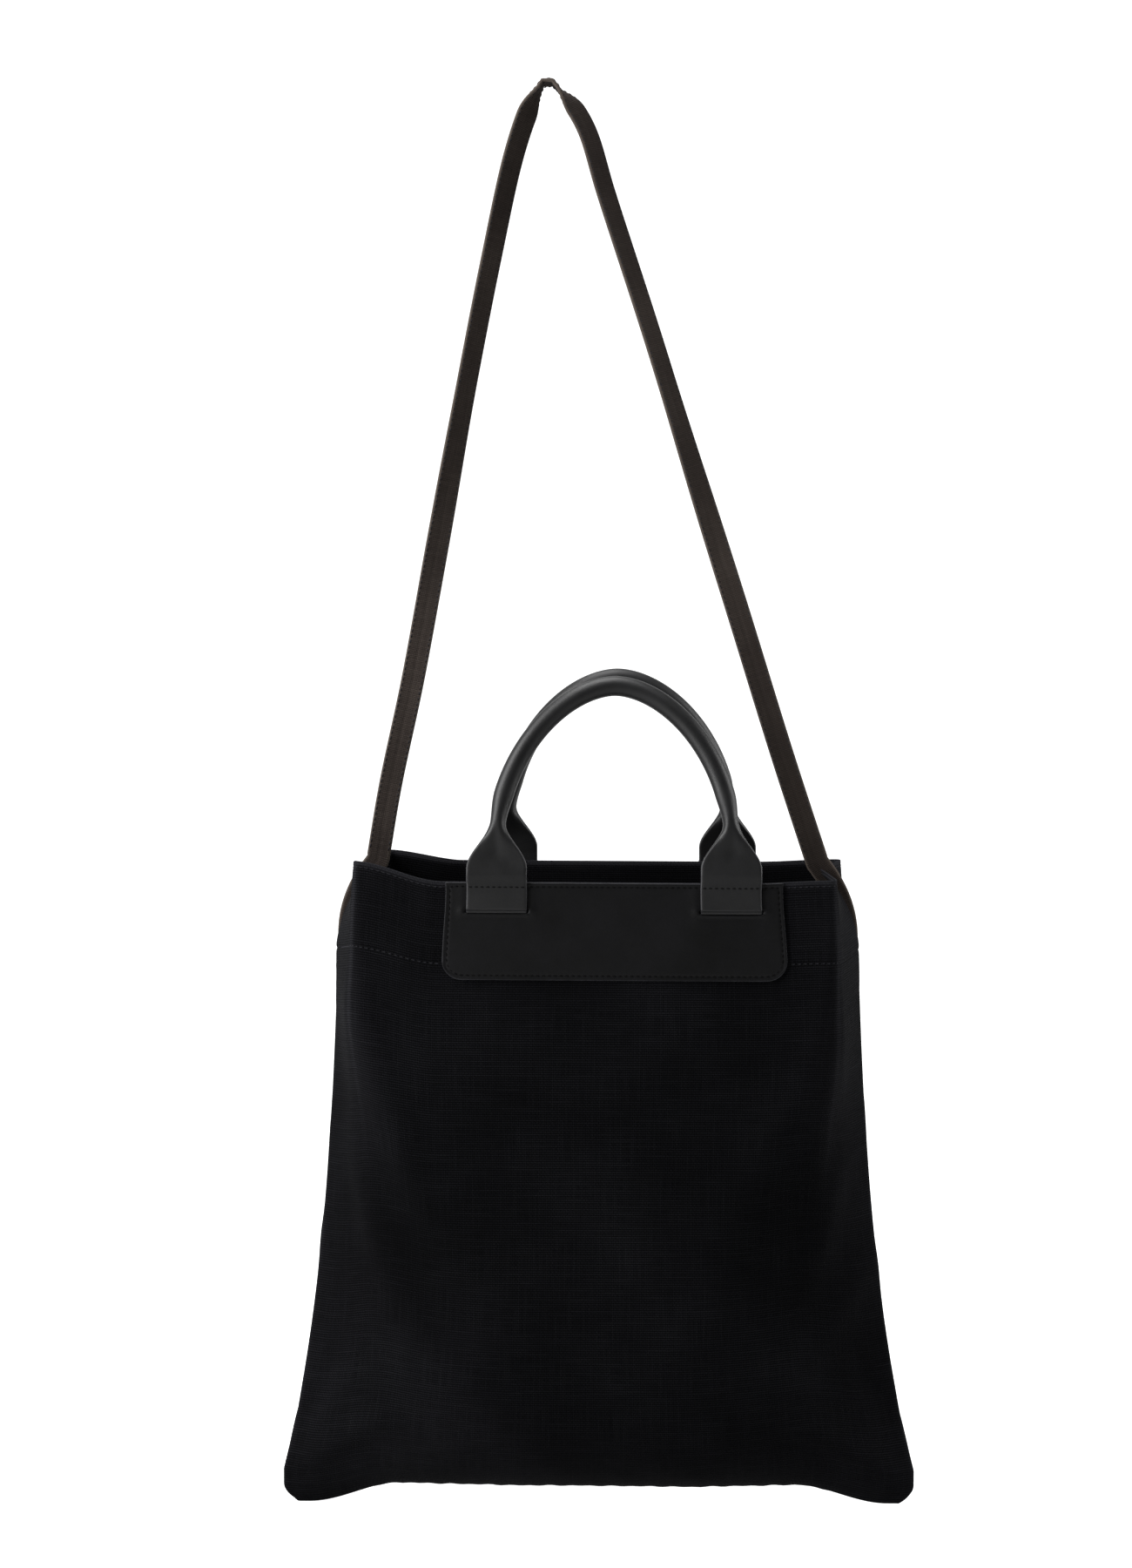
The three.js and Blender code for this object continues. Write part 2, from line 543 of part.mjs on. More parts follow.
/** The rows across the handle's ends and below the slits that they go into. */
function tabRows(side) {
  const reach = TAB_HALF - 1;
  return TAB_ENDS.flatMap(([hand, x]) => [
    [`tab_thread_${hand}`, stitchRow(side, x - reach, x + reach, TOP_ROW, ON_TAB)],
    [`slit_thread_${hand}`, stitchRow(side, x - reach, x + reach, TAB_DEPTH + SLIT_HEIGHT, ON_PATCH)],
  ]);
}

for (const { name, side } of SIDES) {
  const between = TAB_SPACING / 2 - TAB_HALF - 1;
  const topRow = stitchRow(side, FITTING_X - between, FITTING_X + between, TOP_ROW, ON_PATCH);
  const rows = [...mouthRows(side), ['border_thread', borderRow(side)], ['top_thread', topRow]];
  for (const [row, geometry] of [...rows, ...tabRows(side)]) {
    addPiece(`${name}_${row}`, geometry, THREAD_FINISH);
  }
}

// The origin is the strap's underside at the point where the bag is held.
bag.position.set(-STRAP_APEX.x, 0, -(STRAP_APEX.z - STRAP_THICK / 2));

export default bag;
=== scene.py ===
# %% [markdown]
# # A canvas tote bag
# The bag hangs by its shoulder strap and is lightly filled, so its two flat panels have swollen
# into a soft pillow with pointed lower corners. Every cell below makes one real piece of it, and
# says first what the piece is, how it could be made in Blender and why this way was chosen.

# %% Load the frame
import math

import bmesh
import bpy
import numpy as np
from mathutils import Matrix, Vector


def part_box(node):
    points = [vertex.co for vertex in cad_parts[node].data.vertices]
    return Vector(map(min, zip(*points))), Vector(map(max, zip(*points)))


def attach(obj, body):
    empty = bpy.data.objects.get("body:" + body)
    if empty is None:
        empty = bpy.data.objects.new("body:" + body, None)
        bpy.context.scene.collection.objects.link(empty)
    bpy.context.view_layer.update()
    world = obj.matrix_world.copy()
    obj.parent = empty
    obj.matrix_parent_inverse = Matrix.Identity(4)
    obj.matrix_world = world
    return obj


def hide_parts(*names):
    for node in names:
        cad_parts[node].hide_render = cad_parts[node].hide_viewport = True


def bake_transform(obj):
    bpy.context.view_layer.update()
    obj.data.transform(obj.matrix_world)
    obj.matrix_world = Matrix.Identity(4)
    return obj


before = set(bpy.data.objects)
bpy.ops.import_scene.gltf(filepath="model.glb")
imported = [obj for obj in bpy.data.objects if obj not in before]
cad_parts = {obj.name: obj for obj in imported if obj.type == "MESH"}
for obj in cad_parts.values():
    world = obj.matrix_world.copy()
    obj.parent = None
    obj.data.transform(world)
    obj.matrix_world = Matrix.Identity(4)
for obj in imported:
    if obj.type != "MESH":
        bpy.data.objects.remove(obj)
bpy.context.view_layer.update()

# %% [markdown]
# ## Where things are
# The bag was designed in millimetres from its middle and the height of its right bottom corner,
# which is the natural way to think of cloth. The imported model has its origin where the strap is
# held, so one function carries millimetres of the bag into metres of the frame.

# %% Places and sizes
MM = 0.001
panel_low, panel_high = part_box("front_panel")
MIDDLE_X = (panel_low[0] + panel_high[0]) / 2
BOTTOM_SLOPE = 6.0  # the left corner hangs this much lower than the right one
FLOOR_Z = panel_low[2] + BOTTOM_SLOPE * MM

RIM_HEIGHT = 391.0
SEAM_RIM_HEIGHT = 394.0
BOTTOM_LIFT = 12.5
HEM_DEPTH = 48.0
MOUTH_HALF_DEPTH = 42.0
FACE_HALF = 145.5
STRAP_SEAM_X = 136.0
SEAM_SPACE = 0.15
CANVAS = 0.9
LEATHER = 1.4
GAP = 0.3
FITTING_X = 12.0  # patches and handles sit this far to the right of the middle
BACK_SLIP = 9.5  # the back panel lies this far to the right of the front one at the mouth
HANDLE_HALF_SPAN = 70.0  # from the middle of the patch to the middle of each handle end
SIDES = (("front", -1), ("back", 1))


def to_row(points):
    """Millimetres from the bag's middle, at its right corner's height, to metres in the frame."""
    return np.asarray(points) * MM + np.array([MIDDLE_X, 0.0, FLOOR_Z])


print(f"the bag's middle is at x = {MIDDLE_X:.3f} m and its right corner at z = {FLOOR_Z:.3f} m")

# %% [markdown]
# ## Camera
# The camera stands a little to the right, well above the mouth of the bag. It is hardly tipped:
# its lens is shifted down in its mount instead, as a product photographer does to keep upright
# lines upright.

# %% Camera
CAMERA_DISTANCE = 1.2
CAMERA_HEIGHT = 0.5842
CAMERA_TURN = math.radians(2.3)
CAMERA_TILT = math.radians(1.5)
CAMERA_LENS = 44.74
CAMERA_SHIFT = (-0.0195, -0.1108)

camera_data = bpy.data.cameras.new("camera")
camera_data.sensor_width = 36.0
camera_data.lens = CAMERA_LENS
camera_data.shift_x, camera_data.shift_y = CAMERA_SHIFT
camera = bpy.data.objects.new("camera", camera_data)
bpy.context.scene.collection.objects.link(camera)
camera.location = (
    MIDDLE_X + CAMERA_DISTANCE * math.sin(CAMERA_TURN),
    -CAMERA_DISTANCE * math.cos(CAMERA_TURN),
    FLOOR_Z + CAMERA_HEIGHT,
)
camera.rotation_euler = (math.pi / 2 - CAMERA_TILT, 0.0, CAMERA_TURN)
bpy.context.scene.camera = camera
bpy.context.scene.view_settings.view_transform = "Standard"
print(f"lens {camera_data.lens:.1f} mm at {CAMERA_DISTANCE} m")

# %% [markdown]
# ## Colours and nodes
# Colours are written as the hex values of a paint chart and turned into linear light by one
# function. Another small function adds a node with its settings and links, so a material reads as
# a list of what feeds what.

# %% Colours and nodes
def linear(hex_colour):
    """An sRGB hex colour as the linear red, green, blue and alpha that the shaders take."""
    parts = [int(hex_colour[i : i + 2], 16) / 255 for i in (1, 3, 5)]
    parts = [c / 12.92 if c <= 0.04045 else ((c + 0.055) / 1.055) ** 2.4 for c in parts]
    return (*parts, 1.0)


def add(tree, kind, links=(), inputs=(), **settings):
    """Adds one node: the sockets that feed it, its fixed inputs and its settings."""
    node = tree.nodes.new(kind)
    for key, value in settings.items():
        setattr(node, key, value)
    for key, value in dict(inputs).items():
        node.inputs[key].default_value = value
    for key, socket in dict(links).items():
        tree.links.new(socket, node.inputs[key])
    return node


def sums(tree, operation, links, inputs=()):
    """One arithmetic node, as its result."""
    return add(tree, "ShaderNodeMath", links, inputs, operation=operation).outputs[0]


def new_material(name):
    """An empty node material with its output, as (material, tree, principled shader)."""
    material = bpy.data.materials.new(name)
    material.use_nodes = True
    tree = material.node_tree
    tree.nodes.clear()
    shader = add(tree, "ShaderNodeBsdfPrincipled")
    add(tree, "ShaderNodeOutputMaterial", {"Surface": shader.outputs["BSDF"]})
    return material, tree, shader


def ramp(tree, factor, stops):
    """A colour ramp through (position, hex colour) stops, fed by a factor."""
    node = add(tree, "ShaderNodeValToRGB", {"Fac": factor})
    for element, (position, _) in zip(node.color_ramp.elements, (stops[0], stops[-1])):
        element.position = position
    for position, _ in stops[1:-1]:
        node.color_ramp.elements.new(position)
    for element, (_, colour) in zip(node.color_ramp.elements, stops):
        element.color = linear(colour)
    return node.outputs["Color"]


# %% [markdown]
# ## Floor and light
# A wide sweep of backlit white acrylic serves as floor and background, so it is evenly white and
# sends up less light than a floodlit paper would. The black bag is lit by big soft boxes above
# and at its sides and left dim from the front: a black object is drawn by what its folds and edges
# reflect, so the light comes from where those reflections are wanted. The box at the left stands
# closest, so its light falls off across the bag.

# %% Sweep
def sweep_mesh():
    """A floor that turns up into a wall: a straight run, a quarter circle and a straight rise,
    carried sideways."""
    radius, near, far, high, half = 1.2, -5.0, 1.6, 3.2, 5.0
    turn = np.linspace(0, np.pi / 2, 25)
    profile_y = np.concatenate([[near], far + radius * np.sin(turn), [far + radius]])
    profile_z = np.concatenate([[0.0], radius * (1 - np.cos(turn)), [high]])
    x = np.array([-half, half])
    grid = np.stack(
        [
            np.repeat(x[None], len(profile_y), 0) + MIDDLE_X,
            np.repeat(profile_y[:, None], 2, 1),
            np.repeat(profile_z[:, None], 2, 1) + panel_low[2],
        ],
        -1,
    )
    rows = np.arange(len(profile_y) - 1) * 2
    faces = np.stack([rows, rows + 1, rows + 3, rows + 2], 1)
    mesh = bpy.data.meshes.new("sweep")
    mesh.from_pydata(grid.reshape(-1, 3).tolist(), [], faces.tolist())
    mesh.polygons.foreach_set("use_smooth", [True] * len(faces))
    return mesh


sweep_material, sweep_tree, sweep_shader = new_material("backlit_white_sweep")
sweep_shader.inputs["Base Color"].default_value = linear("#8a8a8a")
sweep_shader.inputs["Roughness"].default_value = 0.9
sweep_shader.inputs["Specular IOR Level"].default_value = 0.2
sweep_shader.inputs["Emission Color"].default_value = linear("#ffffff")
sweep_shader.inputs["Emission Strength"].default_value = 0.95
sweep = bpy.data.objects.new("sweep", sweep_mesh())
sweep.data.materials.append(sweep_material)
bpy.context.scene.collection.objects.link(sweep)
print("sweep:", len(sweep.data.polygons), "faces")


# %% Lights
def soft_box(name, place, aim, size, watts):
    """A rectangular area light at a place in metres from the bag's foot, facing a point there."""
    data = bpy.data.lights.new(name, "AREA")
    data.shape = "RECTANGLE"
    data.size, data.size_y = size
    data.energy = watts
    lamp = bpy.data.objects.new(name, data)
    away = np.array(place) - np.array(aim)
    lamp.location = np.array([MIDDLE_X, 0.0, FLOOR_Z]) + np.array(place)
    turn = math.atan2(away[0], -away[1])
    tip = math.atan2(math.hypot(away[0], away[1]), away[2])
    lamp.rotation_euler = (tip, 0.0, turn)
    lamp.visible_camera = False
    bpy.context.scene.collection.objects.link(lamp)
    print(f"{name}: {watts:.0f} W from {size[0]} x {size[1]} m")


soft_box("top_box", (-0.3, 0.05, 1.9), (0.0, 0.0, 0.4), (1.3, 1.0), 66.0)
soft_box("left_box", (-1.15, -0.55, 0.9), (0.0, 0.0, 0.35), (0.9, 1.3), 80.0)
soft_box("right_box", (1.5, 0.1, 0.8), (0.0, 0.0, 0.35), (0.7, 1.3), 44.0)

world = bpy.data.worlds.new("studio")
bpy.context.scene.world = world
world.use_nodes = True
world.node_tree.nodes["Background"].inputs["Color"].default_value = linear("#f2f4f7")
world.node_tree.nodes["Background"].inputs["Strength"].default_value = 0.18


# %% [markdown]
# ## Building a piece
# Almost every piece is a soft section carried along a path: a strap, a rolled handle, a tape, even a whole
# panel, whose section goes up its outside, over the rim and down its inside. So one function turns a stack
# of closed rings into a mesh of clean quads, closes its two ends by strips across the ring, and gives it a
# UV map in metres of real cloth. A second value, kept at each point, makes the colour paler there: on the
# leather it is real wear and edge paint, on the canvas panels it is painted highlight along the rim, the
# folds and the seams, and on the strap it makes the folded edges paler.

# %% Loft
def mesh_object(name, points, faces, uvs, material, wear_and_highlight=None):
    """A mesh object from points in bag millimetres, faces and one UV (in millimetres) a corner."""
    mesh = bpy.data.meshes.new(name)
    mesh.from_pydata(to_row(points).tolist(), [], faces.tolist())
    layer = mesh.uv_layers.new(name="cloth")
    layer.data.foreach_set("uv", (np.asarray(uvs) * MM).ravel().astype(np.float32))
    mesh.polygons.foreach_set("use_smooth", np.ones(len(mesh.polygons), bool))
    # a paleness value a point: real wear and edge paint on the leather, painted highlight on the canvas rim,
    # folds and seams
    edge = mesh.attributes.new("wear_and_highlight", "FLOAT", "POINT")
    value = np.zeros(len(points)) if wear_and_highlight is None else np.asarray(wear_and_highlight)
    edge.data.foreach_set("value", value.ravel().astype(np.float32))
    mesh.materials.append(material)
    piece = bpy.data.objects.new(name, mesh)
    bpy.context.scene.collection.objects.link(piece)
    return piece


def face_outwards(piece):
    """Turns the faces of a closed mesh so that all of them point out of it."""
    work = bmesh.new()
    work.from_mesh(piece.data)
    bmesh.ops.recalc_face_normals(work, faces=work.faces)
    work.to_mesh(piece.data)
    work.free()


def loft(name, rings, uv, material, wear_and_highlight=None):
    """Closed rings (n, m, 3) joined in order, with strips across the first and the last ring.
    uv is (n, m + 1, 2): its last column closes the ring."""
    n, m = rings.shape[:2]
    i, j = np.meshgrid(np.arange(n - 1), np.arange(m), indexing="ij")
    k = (j + 1) % m
    sides = np.stack([i * m + j, i * m + k, (i + 1) * m + k, (i + 1) * m + j], -1).reshape(-1, 4)
    side_uv = np.stack([uv[i, j], uv[i, j + 1], uv[i + 1, j + 1], uv[i + 1, j]], -2)
    a = np.arange(m // 2 - 1)
    first = np.stack([a, m - 1 - a, m - 2 - a, a + 1], -1)
    last = first[:, ::-1]
    faces = np.concatenate([sides, first, (n - 1) * m + last])
    uvs = np.concatenate([side_uv.reshape(-1, 4, 2), uv[0][first], uv[n - 1][last]])
    piece = mesh_object(name, rings.reshape(-1, 3), faces, uvs.reshape(-1, 2), material, wear_and_highlight)
    face_outwards(piece)
    return piece


def place(piece, body, slot, nodes):
    """Hangs a finished piece on the body it rides on and hides the nodes it stands for. slot is not used."""
    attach(piece, body)
    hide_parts(*nodes)
    print(f"{piece.name}: {len(piece.data.polygons)} faces")


def lengths(points):
    """Distance along a line of points, from its start."""
    steps = np.linalg.norm(np.diff(points, axis=0), axis=1)
    return np.concatenate([[0.0], np.cumsum(steps)])


def unit(vectors):
    """Each vector made one long."""
    return vectors / np.maximum(np.linalg.norm(vectors, axis=-1, keepdims=True), 1e-12)


def rise(a, b, t):
    """0 before a, 1 after b and the smooth curve u * u * (3 - 2u) between."""
    u = np.clip((t - a) / (b - a), 0.0, 1.0)
    return u * u * (3.0 - 2.0 * u)


def bell(t, middle, width):
    """1 at the middle, falling away on both sides like exp(-u * u)."""
    return np.exp(-(((t - middle) / width) ** 2))


def spread(low, high, count, density):
    """Values from low to high that stand closer together where the density is higher."""
    fine = np.linspace(low, high, 2001)
    share = np.cumsum(density(fine))
    share = (share - share[0]) / (share[-1] - share[0])
    return np.interp(np.linspace(0.0, 1.0, count), share, fine)


# %% [markdown]
# ## The shape of the filled bag
# The panels are flat pieces of canvas, as long round at every height. At the mouth they make a
# flat face with a sharp fold at each corner, and the side seam is folded in like a bellows. Lower
# down the folds soften and the sides grow wider, until the two panels close to a pillow's edge at
# the bottom seam. One formula gives that whole surface: a section of face, rounded fold and side,
# whose sizes change with height. Everything sewn to the bag is placed by the same formula.

# %% The surface
LEFT_RIM_LIFT = {-1: 12.0, 1: 6.5}  # front and back: how much the strap draws the rim up
RIGHT_RIM_LIFT = 2.0


def seam_x(z):
    """Side seam from the middle: straight, flaring to the corners, pinched in at the mouth."""
    flare = np.minimum(42.0 * np.exp(-(z - 11.0) / 150.0), 39.5)
    pinch = np.clip((z - 340.0) / 54.0, 0.0, 1.0) ** 2.2
    blunt = np.clip(1.0 - z / 11.0, 0.0, 1.0) ** 2
    return 157.0 + flare - 22.0 * pinch - 8.5 * blunt


def half_depth(up):
    """Half the distance between the faces: a belly, closing like a quarter circle at the foot."""
    closing = np.clip(up / 0.2, 0.0, 1.0)
    return (MOUTH_HALF_DEPTH + 5.5 * np.sin(np.pi * up)) * np.sqrt(1.0 - (1.0 - closing) ** 2)


def fold_x(side, hand, up):
    """From the middle to the soft fold where the face turns into the side. The back panel has
    slipped to the right at the mouth, and its two folds with it. hand is -1 or 1."""
    slipped = BACK_SLIP * hand * rise(0.5, 0.8, up) if side > 0 else 0.0
    return FACE_HALF + slipped - 50.0 * (1.0 - rise(0.2, 0.79, up))


def seam_lift(across):
    """Height of the bottom seam: straight, down at the two corners, and lower to the left."""
    return BOTTOM_LIFT * (1.0 - rise(0.64, 0.955, np.abs(across))) - BOTTOM_SLOPE * (1.0 - across) / 2


def rim_height(side, across):
    """Height of the rim: the strap draws the left corners up, and the folds lead to the seams."""
    fold_at = 0.77
    reach = np.abs(across)
    lift = np.where(across < 0, LEFT_RIM_LIFT[side], RIGHT_RIM_LIFT)
    flat = RIM_HEIGHT + lift * rise(0.48, fold_at, reach)
    folded = np.clip((reach - fold_at) / (1.0 - fold_at), 0.0, 1.0)
    return flat + (SEAM_RIM_HEIGHT - RIM_HEIGHT - lift) * folded


def surface(side, across, up):
    """The outside of the plain bag: side -1 front or 1 back, across -1 to 1, up 0 to 1."""
    low = seam_lift(across)
    z = low + (rim_height(side, across) - low) * up
    seam, depth, fold = seam_x(SEAM_RIM_HEIGHT * up), half_depth(up), fold_x(side, np.sign(across), up)
    edge = SEAM_SPACE + CANVAS + 1.35 * rise(0.84, 0.875, up)
    side_length = np.hypot(seam - fold, depth)
    soft = 6.0 + 50.0 * (1.0 - rise(0.25, 0.95, up))
    soft = np.minimum(soft, 0.8 * side_length)
    travel = np.abs(across) * (fold + side_length)
    on_side = np.clip((travel - fold) / side_length, 0.0, 1.0)
    t = np.clip((travel - fold + soft) / (2.0 * soft), 0.0, 1.0)
    end = soft / side_length
    turned_x = (1 - t) ** 2 * (fold - soft) + 2 * t * (1 - t) * fold
    turned_x = turned_x + t**2 * (fold + (seam - fold) * end)
    in_turn = np.abs(travel - fold) < soft
    x = np.where(travel < fold, travel, fold + (seam - fold) * on_side)
    x = np.where(in_turn, turned_x, x)
    share = np.where(in_turn, 1.0 - t**2 * end, 1.0 - on_side)
    from_seam = (1.0 - np.abs(across)) * (fold + side_length)
    turned_in = np.sqrt(1.0 - (1.0 - np.clip(from_seam / 1.6, 0.0, 1.0)) ** 2)
    edge = 0.06 + (edge - 0.06) * np.maximum(turned_in, rise(0.82, 0.86, up))
    y = edge + np.maximum(depth - edge, 0.0) * share
    return np.stack(np.broadcast_arrays(np.sign(across) * x, side * y, z), -1)


HALF_GIRTH = FACE_HALF + math.hypot(FACE_HALF - STRAP_SEAM_X, MOUTH_HALF_DEPTH)
FACE_HEIGHT = RIM_HEIGHT - seam_lift(0.0)
print(f"half girth {HALF_GIRTH:.1f} mm, face {FACE_HEIGHT:.1f} mm high")


def girth(side, distance):
    """Share of the half girth that a distance from the middle of a face is, near the mouth."""
    fold = fold_x(side, np.sign(distance), 1.0)
    return distance / (fold + np.hypot(fold - STRAP_SEAM_X, MOUTH_HALF_DEPTH))


def below(distance):
    """Share of the height that a distance below the rim is."""
    return 1.0 - distance / FACE_HEIGHT


def normals(side, across, up):
    """Outward normals of the plain surface, from small steps along and up it."""
    step = 0.004
    a = np.clip(across, step - 1.0, 1.0 - step)
    u = np.clip(up, step, 1.0 - step)
    sideways = surface(side, a + step, u) - surface(side, a - step, u)
    upward = surface(side, a, u + step) - surface(side, a, u - step)
    return unit(np.cross(sideways, upward)) * -side


def plain(side, across, up, out):
    """A point at a distance outside the plain surface: leather, tapes and facings lie on it."""
    across, up, out = np.broadcast_arrays(*(np.asarray(v, float) for v in (across, up, out)))
    p = surface(side, across, up) + normals(side, across, up) * out[..., None]
    p[..., 1] = side * np.maximum(side * p[..., 1], 0.05)
    return p


# %% [markdown]
# ## Folds and puckers
# Canvas of this weight does not crumple: it makes a few long soft ridges that run down and inwards
# from the mouth's corners, short creases out of the lower corners, and small puckers where a
# seam's thread has drawn the cloth up. Each ridge is a line on the face with a bell-shaped height
# across it that fades at both ends, and the puckers are short waves along the seams that die away
# within a few millimetres. A cloth simulation could find such folds too, but a formula keeps them
# where this bag has them and adds nothing to the time.

# %% Relief of the cloth
wave_source = np.random.default_rng(7)
SWELLS = wave_source.uniform(-1.0, 1.0, (9, 3))
SWELL_STARTS = wave_source.uniform(0.0, 2 * np.pi, 9)

FRONT_RIDGES = [
    # start x and z, end x and z, half width, height
    ((-150, 330), (-105, 196), 12, 3.1),
    ((-152, 232), (-112, 115), 13, 3.4),
    ((-160, 285), (-146, 150), 8, -1.8),
    ((150, 222), (124, 133), 11, 2.9),
    ((165, 150), (116, 82), 12, 2.9),
    ((146, 300), (128, 190), 8, 2.0),
    ((180, 22), (120, 62), 9, 2.6),
    ((-180, 22), (-122, 66), 9, 2.9),
    ((186, 44), (158, 98), 7, -1.6),
    ((-184, 44), (-158, 94), 7, -1.6),
    ((-60, 24), (-20, 42), 14, 1.0),
    ((70, 24), (30, 46), 14, 1.0),
]
BACK_RIDGES = [((-a[0], a[1] + 14), (-b[0], b[1] + 14), w, h) for a, b, w, h in FRONT_RIDGES]
print(len(FRONT_RIDGES), "ridges on each face")


def ridge(x, z, start, end, width, height):
    """A soft ridge from start to end: a bell across it and a smooth fade at its ends."""
    start, end = np.array(start, float), np.array(end, float)
    run = end - start
    length = np.hypot(*run)
    run = run / length
    ahead = (x - start[0]) * run[0] + (z - start[1]) * run[1]
    off = -(x - start[0]) * run[1] + (z - start[1]) * run[0]
    fade = rise(-0.25, 0.25, ahead / length) * (1.0 - rise(0.7, 1.15, ahead / length))
    return height * fade * bell(off, 0.0, width)


def uneven(distance, wavelength):
    """Waves along a seam: two lengths of sine that never quite agree."""
    turn = 2 * np.pi * distance / wavelength
    return 0.6 * np.sin(turn) + 0.4 * np.sin(0.63 * turn + 1.3)


def relief(side, across, up):
    """How far the cloth stands off the plain surface, in millimetres: long swells and ridges,
    puckers along the seams, and the pull of the two rows of stitching round the mouth."""
    p = surface(side, across, up)
    x, z = p[..., 0], p[..., 2]
    swell = sum(
        np.sin(x * a / 38.0 + z * b / 52.0 + start) * (0.5 + 0.5 * c)
        for (a, b, c), start in zip(SWELLS, SWELL_STARTS)
    )
    folds = sum(ridge(x, z, *r) for r in (FRONT_RIDGES if side < 0 else BACK_RIDGES))
    from_side = (1.0 - np.abs(across)) * HALF_GIRTH
    from_foot = up * FACE_HEIGHT
    from_rim = (1.0 - up) * FACE_HEIGHT
    pucker = uneven(z, 11.0) * np.exp(-from_side / 7.0) * rise(0.0, 1.5, from_side)
    pucker = pucker + uneven(x, 12.5) * np.exp(-from_foot / 7.0) * rise(0.0, 1.5, from_foot)
    hem = -0.45 * bell(from_rim, HEM_DEPTH + 0.4, 1.1) - 0.25 * bell(from_rim, 3.0, 0.9)
    band = 0.3 * rise(HEM_DEPTH + 1.0, HEM_DEPTH - 1.0, from_rim)
    past_leather = np.maximum(np.abs(x - FITTING_X) - 103.0, from_rim - 60.0)
    loose = rise(0.0, 26.0, past_leather)
    free = rise(0.0, 8.0, past_leather)
    calm = 0.25 + 0.75 * rise(0.0, 40.0, from_rim)
    return (0.2 * swell * calm + folds) * loose + 0.4 * pucker + (hem + band) * free


def cloth(side, across, up, out=0.0):
    """A point at a distance outside the folded cloth, kept on its own side of the seam plane."""
    across, up = np.broadcast_arrays(np.asarray(across, float), np.asarray(up, float))
    return plain(side, across, up, out + relief(side, across, up))


# %% [markdown]
# ## Cotton canvas
# The panels are cotton duck of about 12 ounces, yarn dyed black: a plain weave whose weft is a
# little fatter than its warp, so that fine level ribs show. Dyed cotton scatters light, and its
# yarns hide most of the gloss between them, so the specular level is far below a smooth
# surface's. The weave is drawn from the cloth's own UV map. The real yarns are about 0.6 mm apart.
# They are drawn 1.1 and 1.4 mm apart, because finer ones would blur into an even tone at the
# distance of the view.

# %% Canvas materials
WEFT_PITCH = 1.4
WARP_PITCH = 1.1


def woven_cotton(name, shades, warp_pitch, weft_pitch, relief_mm, sheen):
    """Plain woven cotton: warp and weft cross over each other in a checker of round-backed yarns, the weft,
    which is fatter, shows as level ribs, yarns vary in thickness along them and the dye is uneven. Where the
    mesh asks for it the colour is paler: painted highlight on the panels' rim, folds and seams, and paler
    folded edges on the strap."""
    material, tree, shader = new_material(name)
    uv = add(tree, "ShaderNodeUVMap", uv_map="cloth").outputs["UV"]
    turns = (1000.0 / warp_pitch, 1000.0 / weft_pitch, 1.0)
    grid = add(tree, "ShaderNodeMapping", {"Vector": uv}, {"Scale": turns}).outputs["Vector"]
    split = add(tree, "ShaderNodeSeparateXYZ", {"Vector": grid})
    backs = []
    for axis in ("X", "Y"):
        angle = sums(tree, "MULTIPLY", {0: split.outputs[axis]}, {1: math.pi})
        backs.append(sums(tree, "ABSOLUTE", {0: sums(tree, "SINE", {0: angle})}))
    check = add(tree, "ShaderNodeTexChecker", {"Vector": grid}, {"Scale": 1.0}).outputs["Fac"]
    weave = add(tree, "ShaderNodeMix", {0: check, 2: backs[0], 3: backs[1]})
    slubs = []
    for stretch in ((0.05, 1.0, 1.0), (1.0, 0.05, 1.0)):
        along = add(tree, "ShaderNodeMapping", {"Vector": grid}, {"Scale": stretch}).outputs["Vector"]
        noise = add(tree, "ShaderNodeTexNoise", {"Vector": along}, {"Scale": 0.8, "Detail": 2.0})
        slubs.append(noise.outputs["Fac"])
    slub = sums(tree, "MAXIMUM", {0: slubs[0], 1: slubs[1]})
    slub = sums(tree, "MULTIPLY_ADD", {0: slub}, {1: 0.5, 2: 0.28})
    ribbed = add(tree, "ShaderNodeMix", {2: weave.outputs[0], 3: backs[1]}, {0: 0.45})
    height = sums(tree, "MULTIPLY", {0: ribbed.outputs[0], 1: slub})
    faded = add(tree, "ShaderNodeTexNoise", {"Vector": uv}, {"Scale": 9.0, "Detail": 5.0}).outputs["Fac"]
    wear_and_highlight = add(tree, "ShaderNodeAttribute", attribute_name="wear_and_highlight").outputs["Fac"]
    shade = sums(tree, "MULTIPLY_ADD", {0: height, 2: faded}, {1: 1.5})
    # painted highlight: the colour is made paler along the panels' rim, folds and seams
    shade = sums(tree, "MULTIPLY_ADD", {0: wear_and_highlight, 2: shade}, {1: 0.9})
    shade = sums(tree, "MULTIPLY", {0: shade}, {1: 0.5})
    stops = [(0.28, shades[0]), (0.55, shades[1]), (0.9, shades[2])]
    tree.links.new(ramp(tree, shade, stops), shader.inputs["Base Color"])
    bump = add(tree, "ShaderNodeBump", {"Height": height}, {"Strength": 0.8, "Distance": relief_mm * MM})
    tree.links.new(bump.outputs["Normal"], shader.inputs["Normal"])
    shader.inputs["Roughness"].default_value = 0.9
    shader.inputs["Specular IOR Level"].default_value = 0.015
    shader.inputs["Sheen Weight"].default_value = sheen
    shader.inputs["Sheen Roughness"].default_value = 0.4
    shader.inputs["Sheen Tint"].default_value = linear("#a7a9b0")
    return material


CANVAS_BLACK = woven_cotton(
    "yarn_dyed_cotton_duck_black", ("#010101", "#040405", "#141416"), WARP_PITCH, WEFT_PITCH, 0.45, 0.004
)
STRAP_BLACK = woven_cotton(
    "folded_cotton_duck_strap_black", ("#0f0d0c", "#1c1816", "#36312d"), 0.9, 1.0, 0.25, 0.02
)
TAPE_BLACK = woven_cotton(
    "woven_cotton_seam_tape_black", ("#0c0c0d", "#171719", "#2c2c30"), 0.8, 0.8, 0.15, 0.04
)
for finish in (CANVAS_BLACK, STRAP_BLACK, TAPE_BLACK):
    print(f"{finish.name}: {len(finish.node_tree.nodes)} nodes")

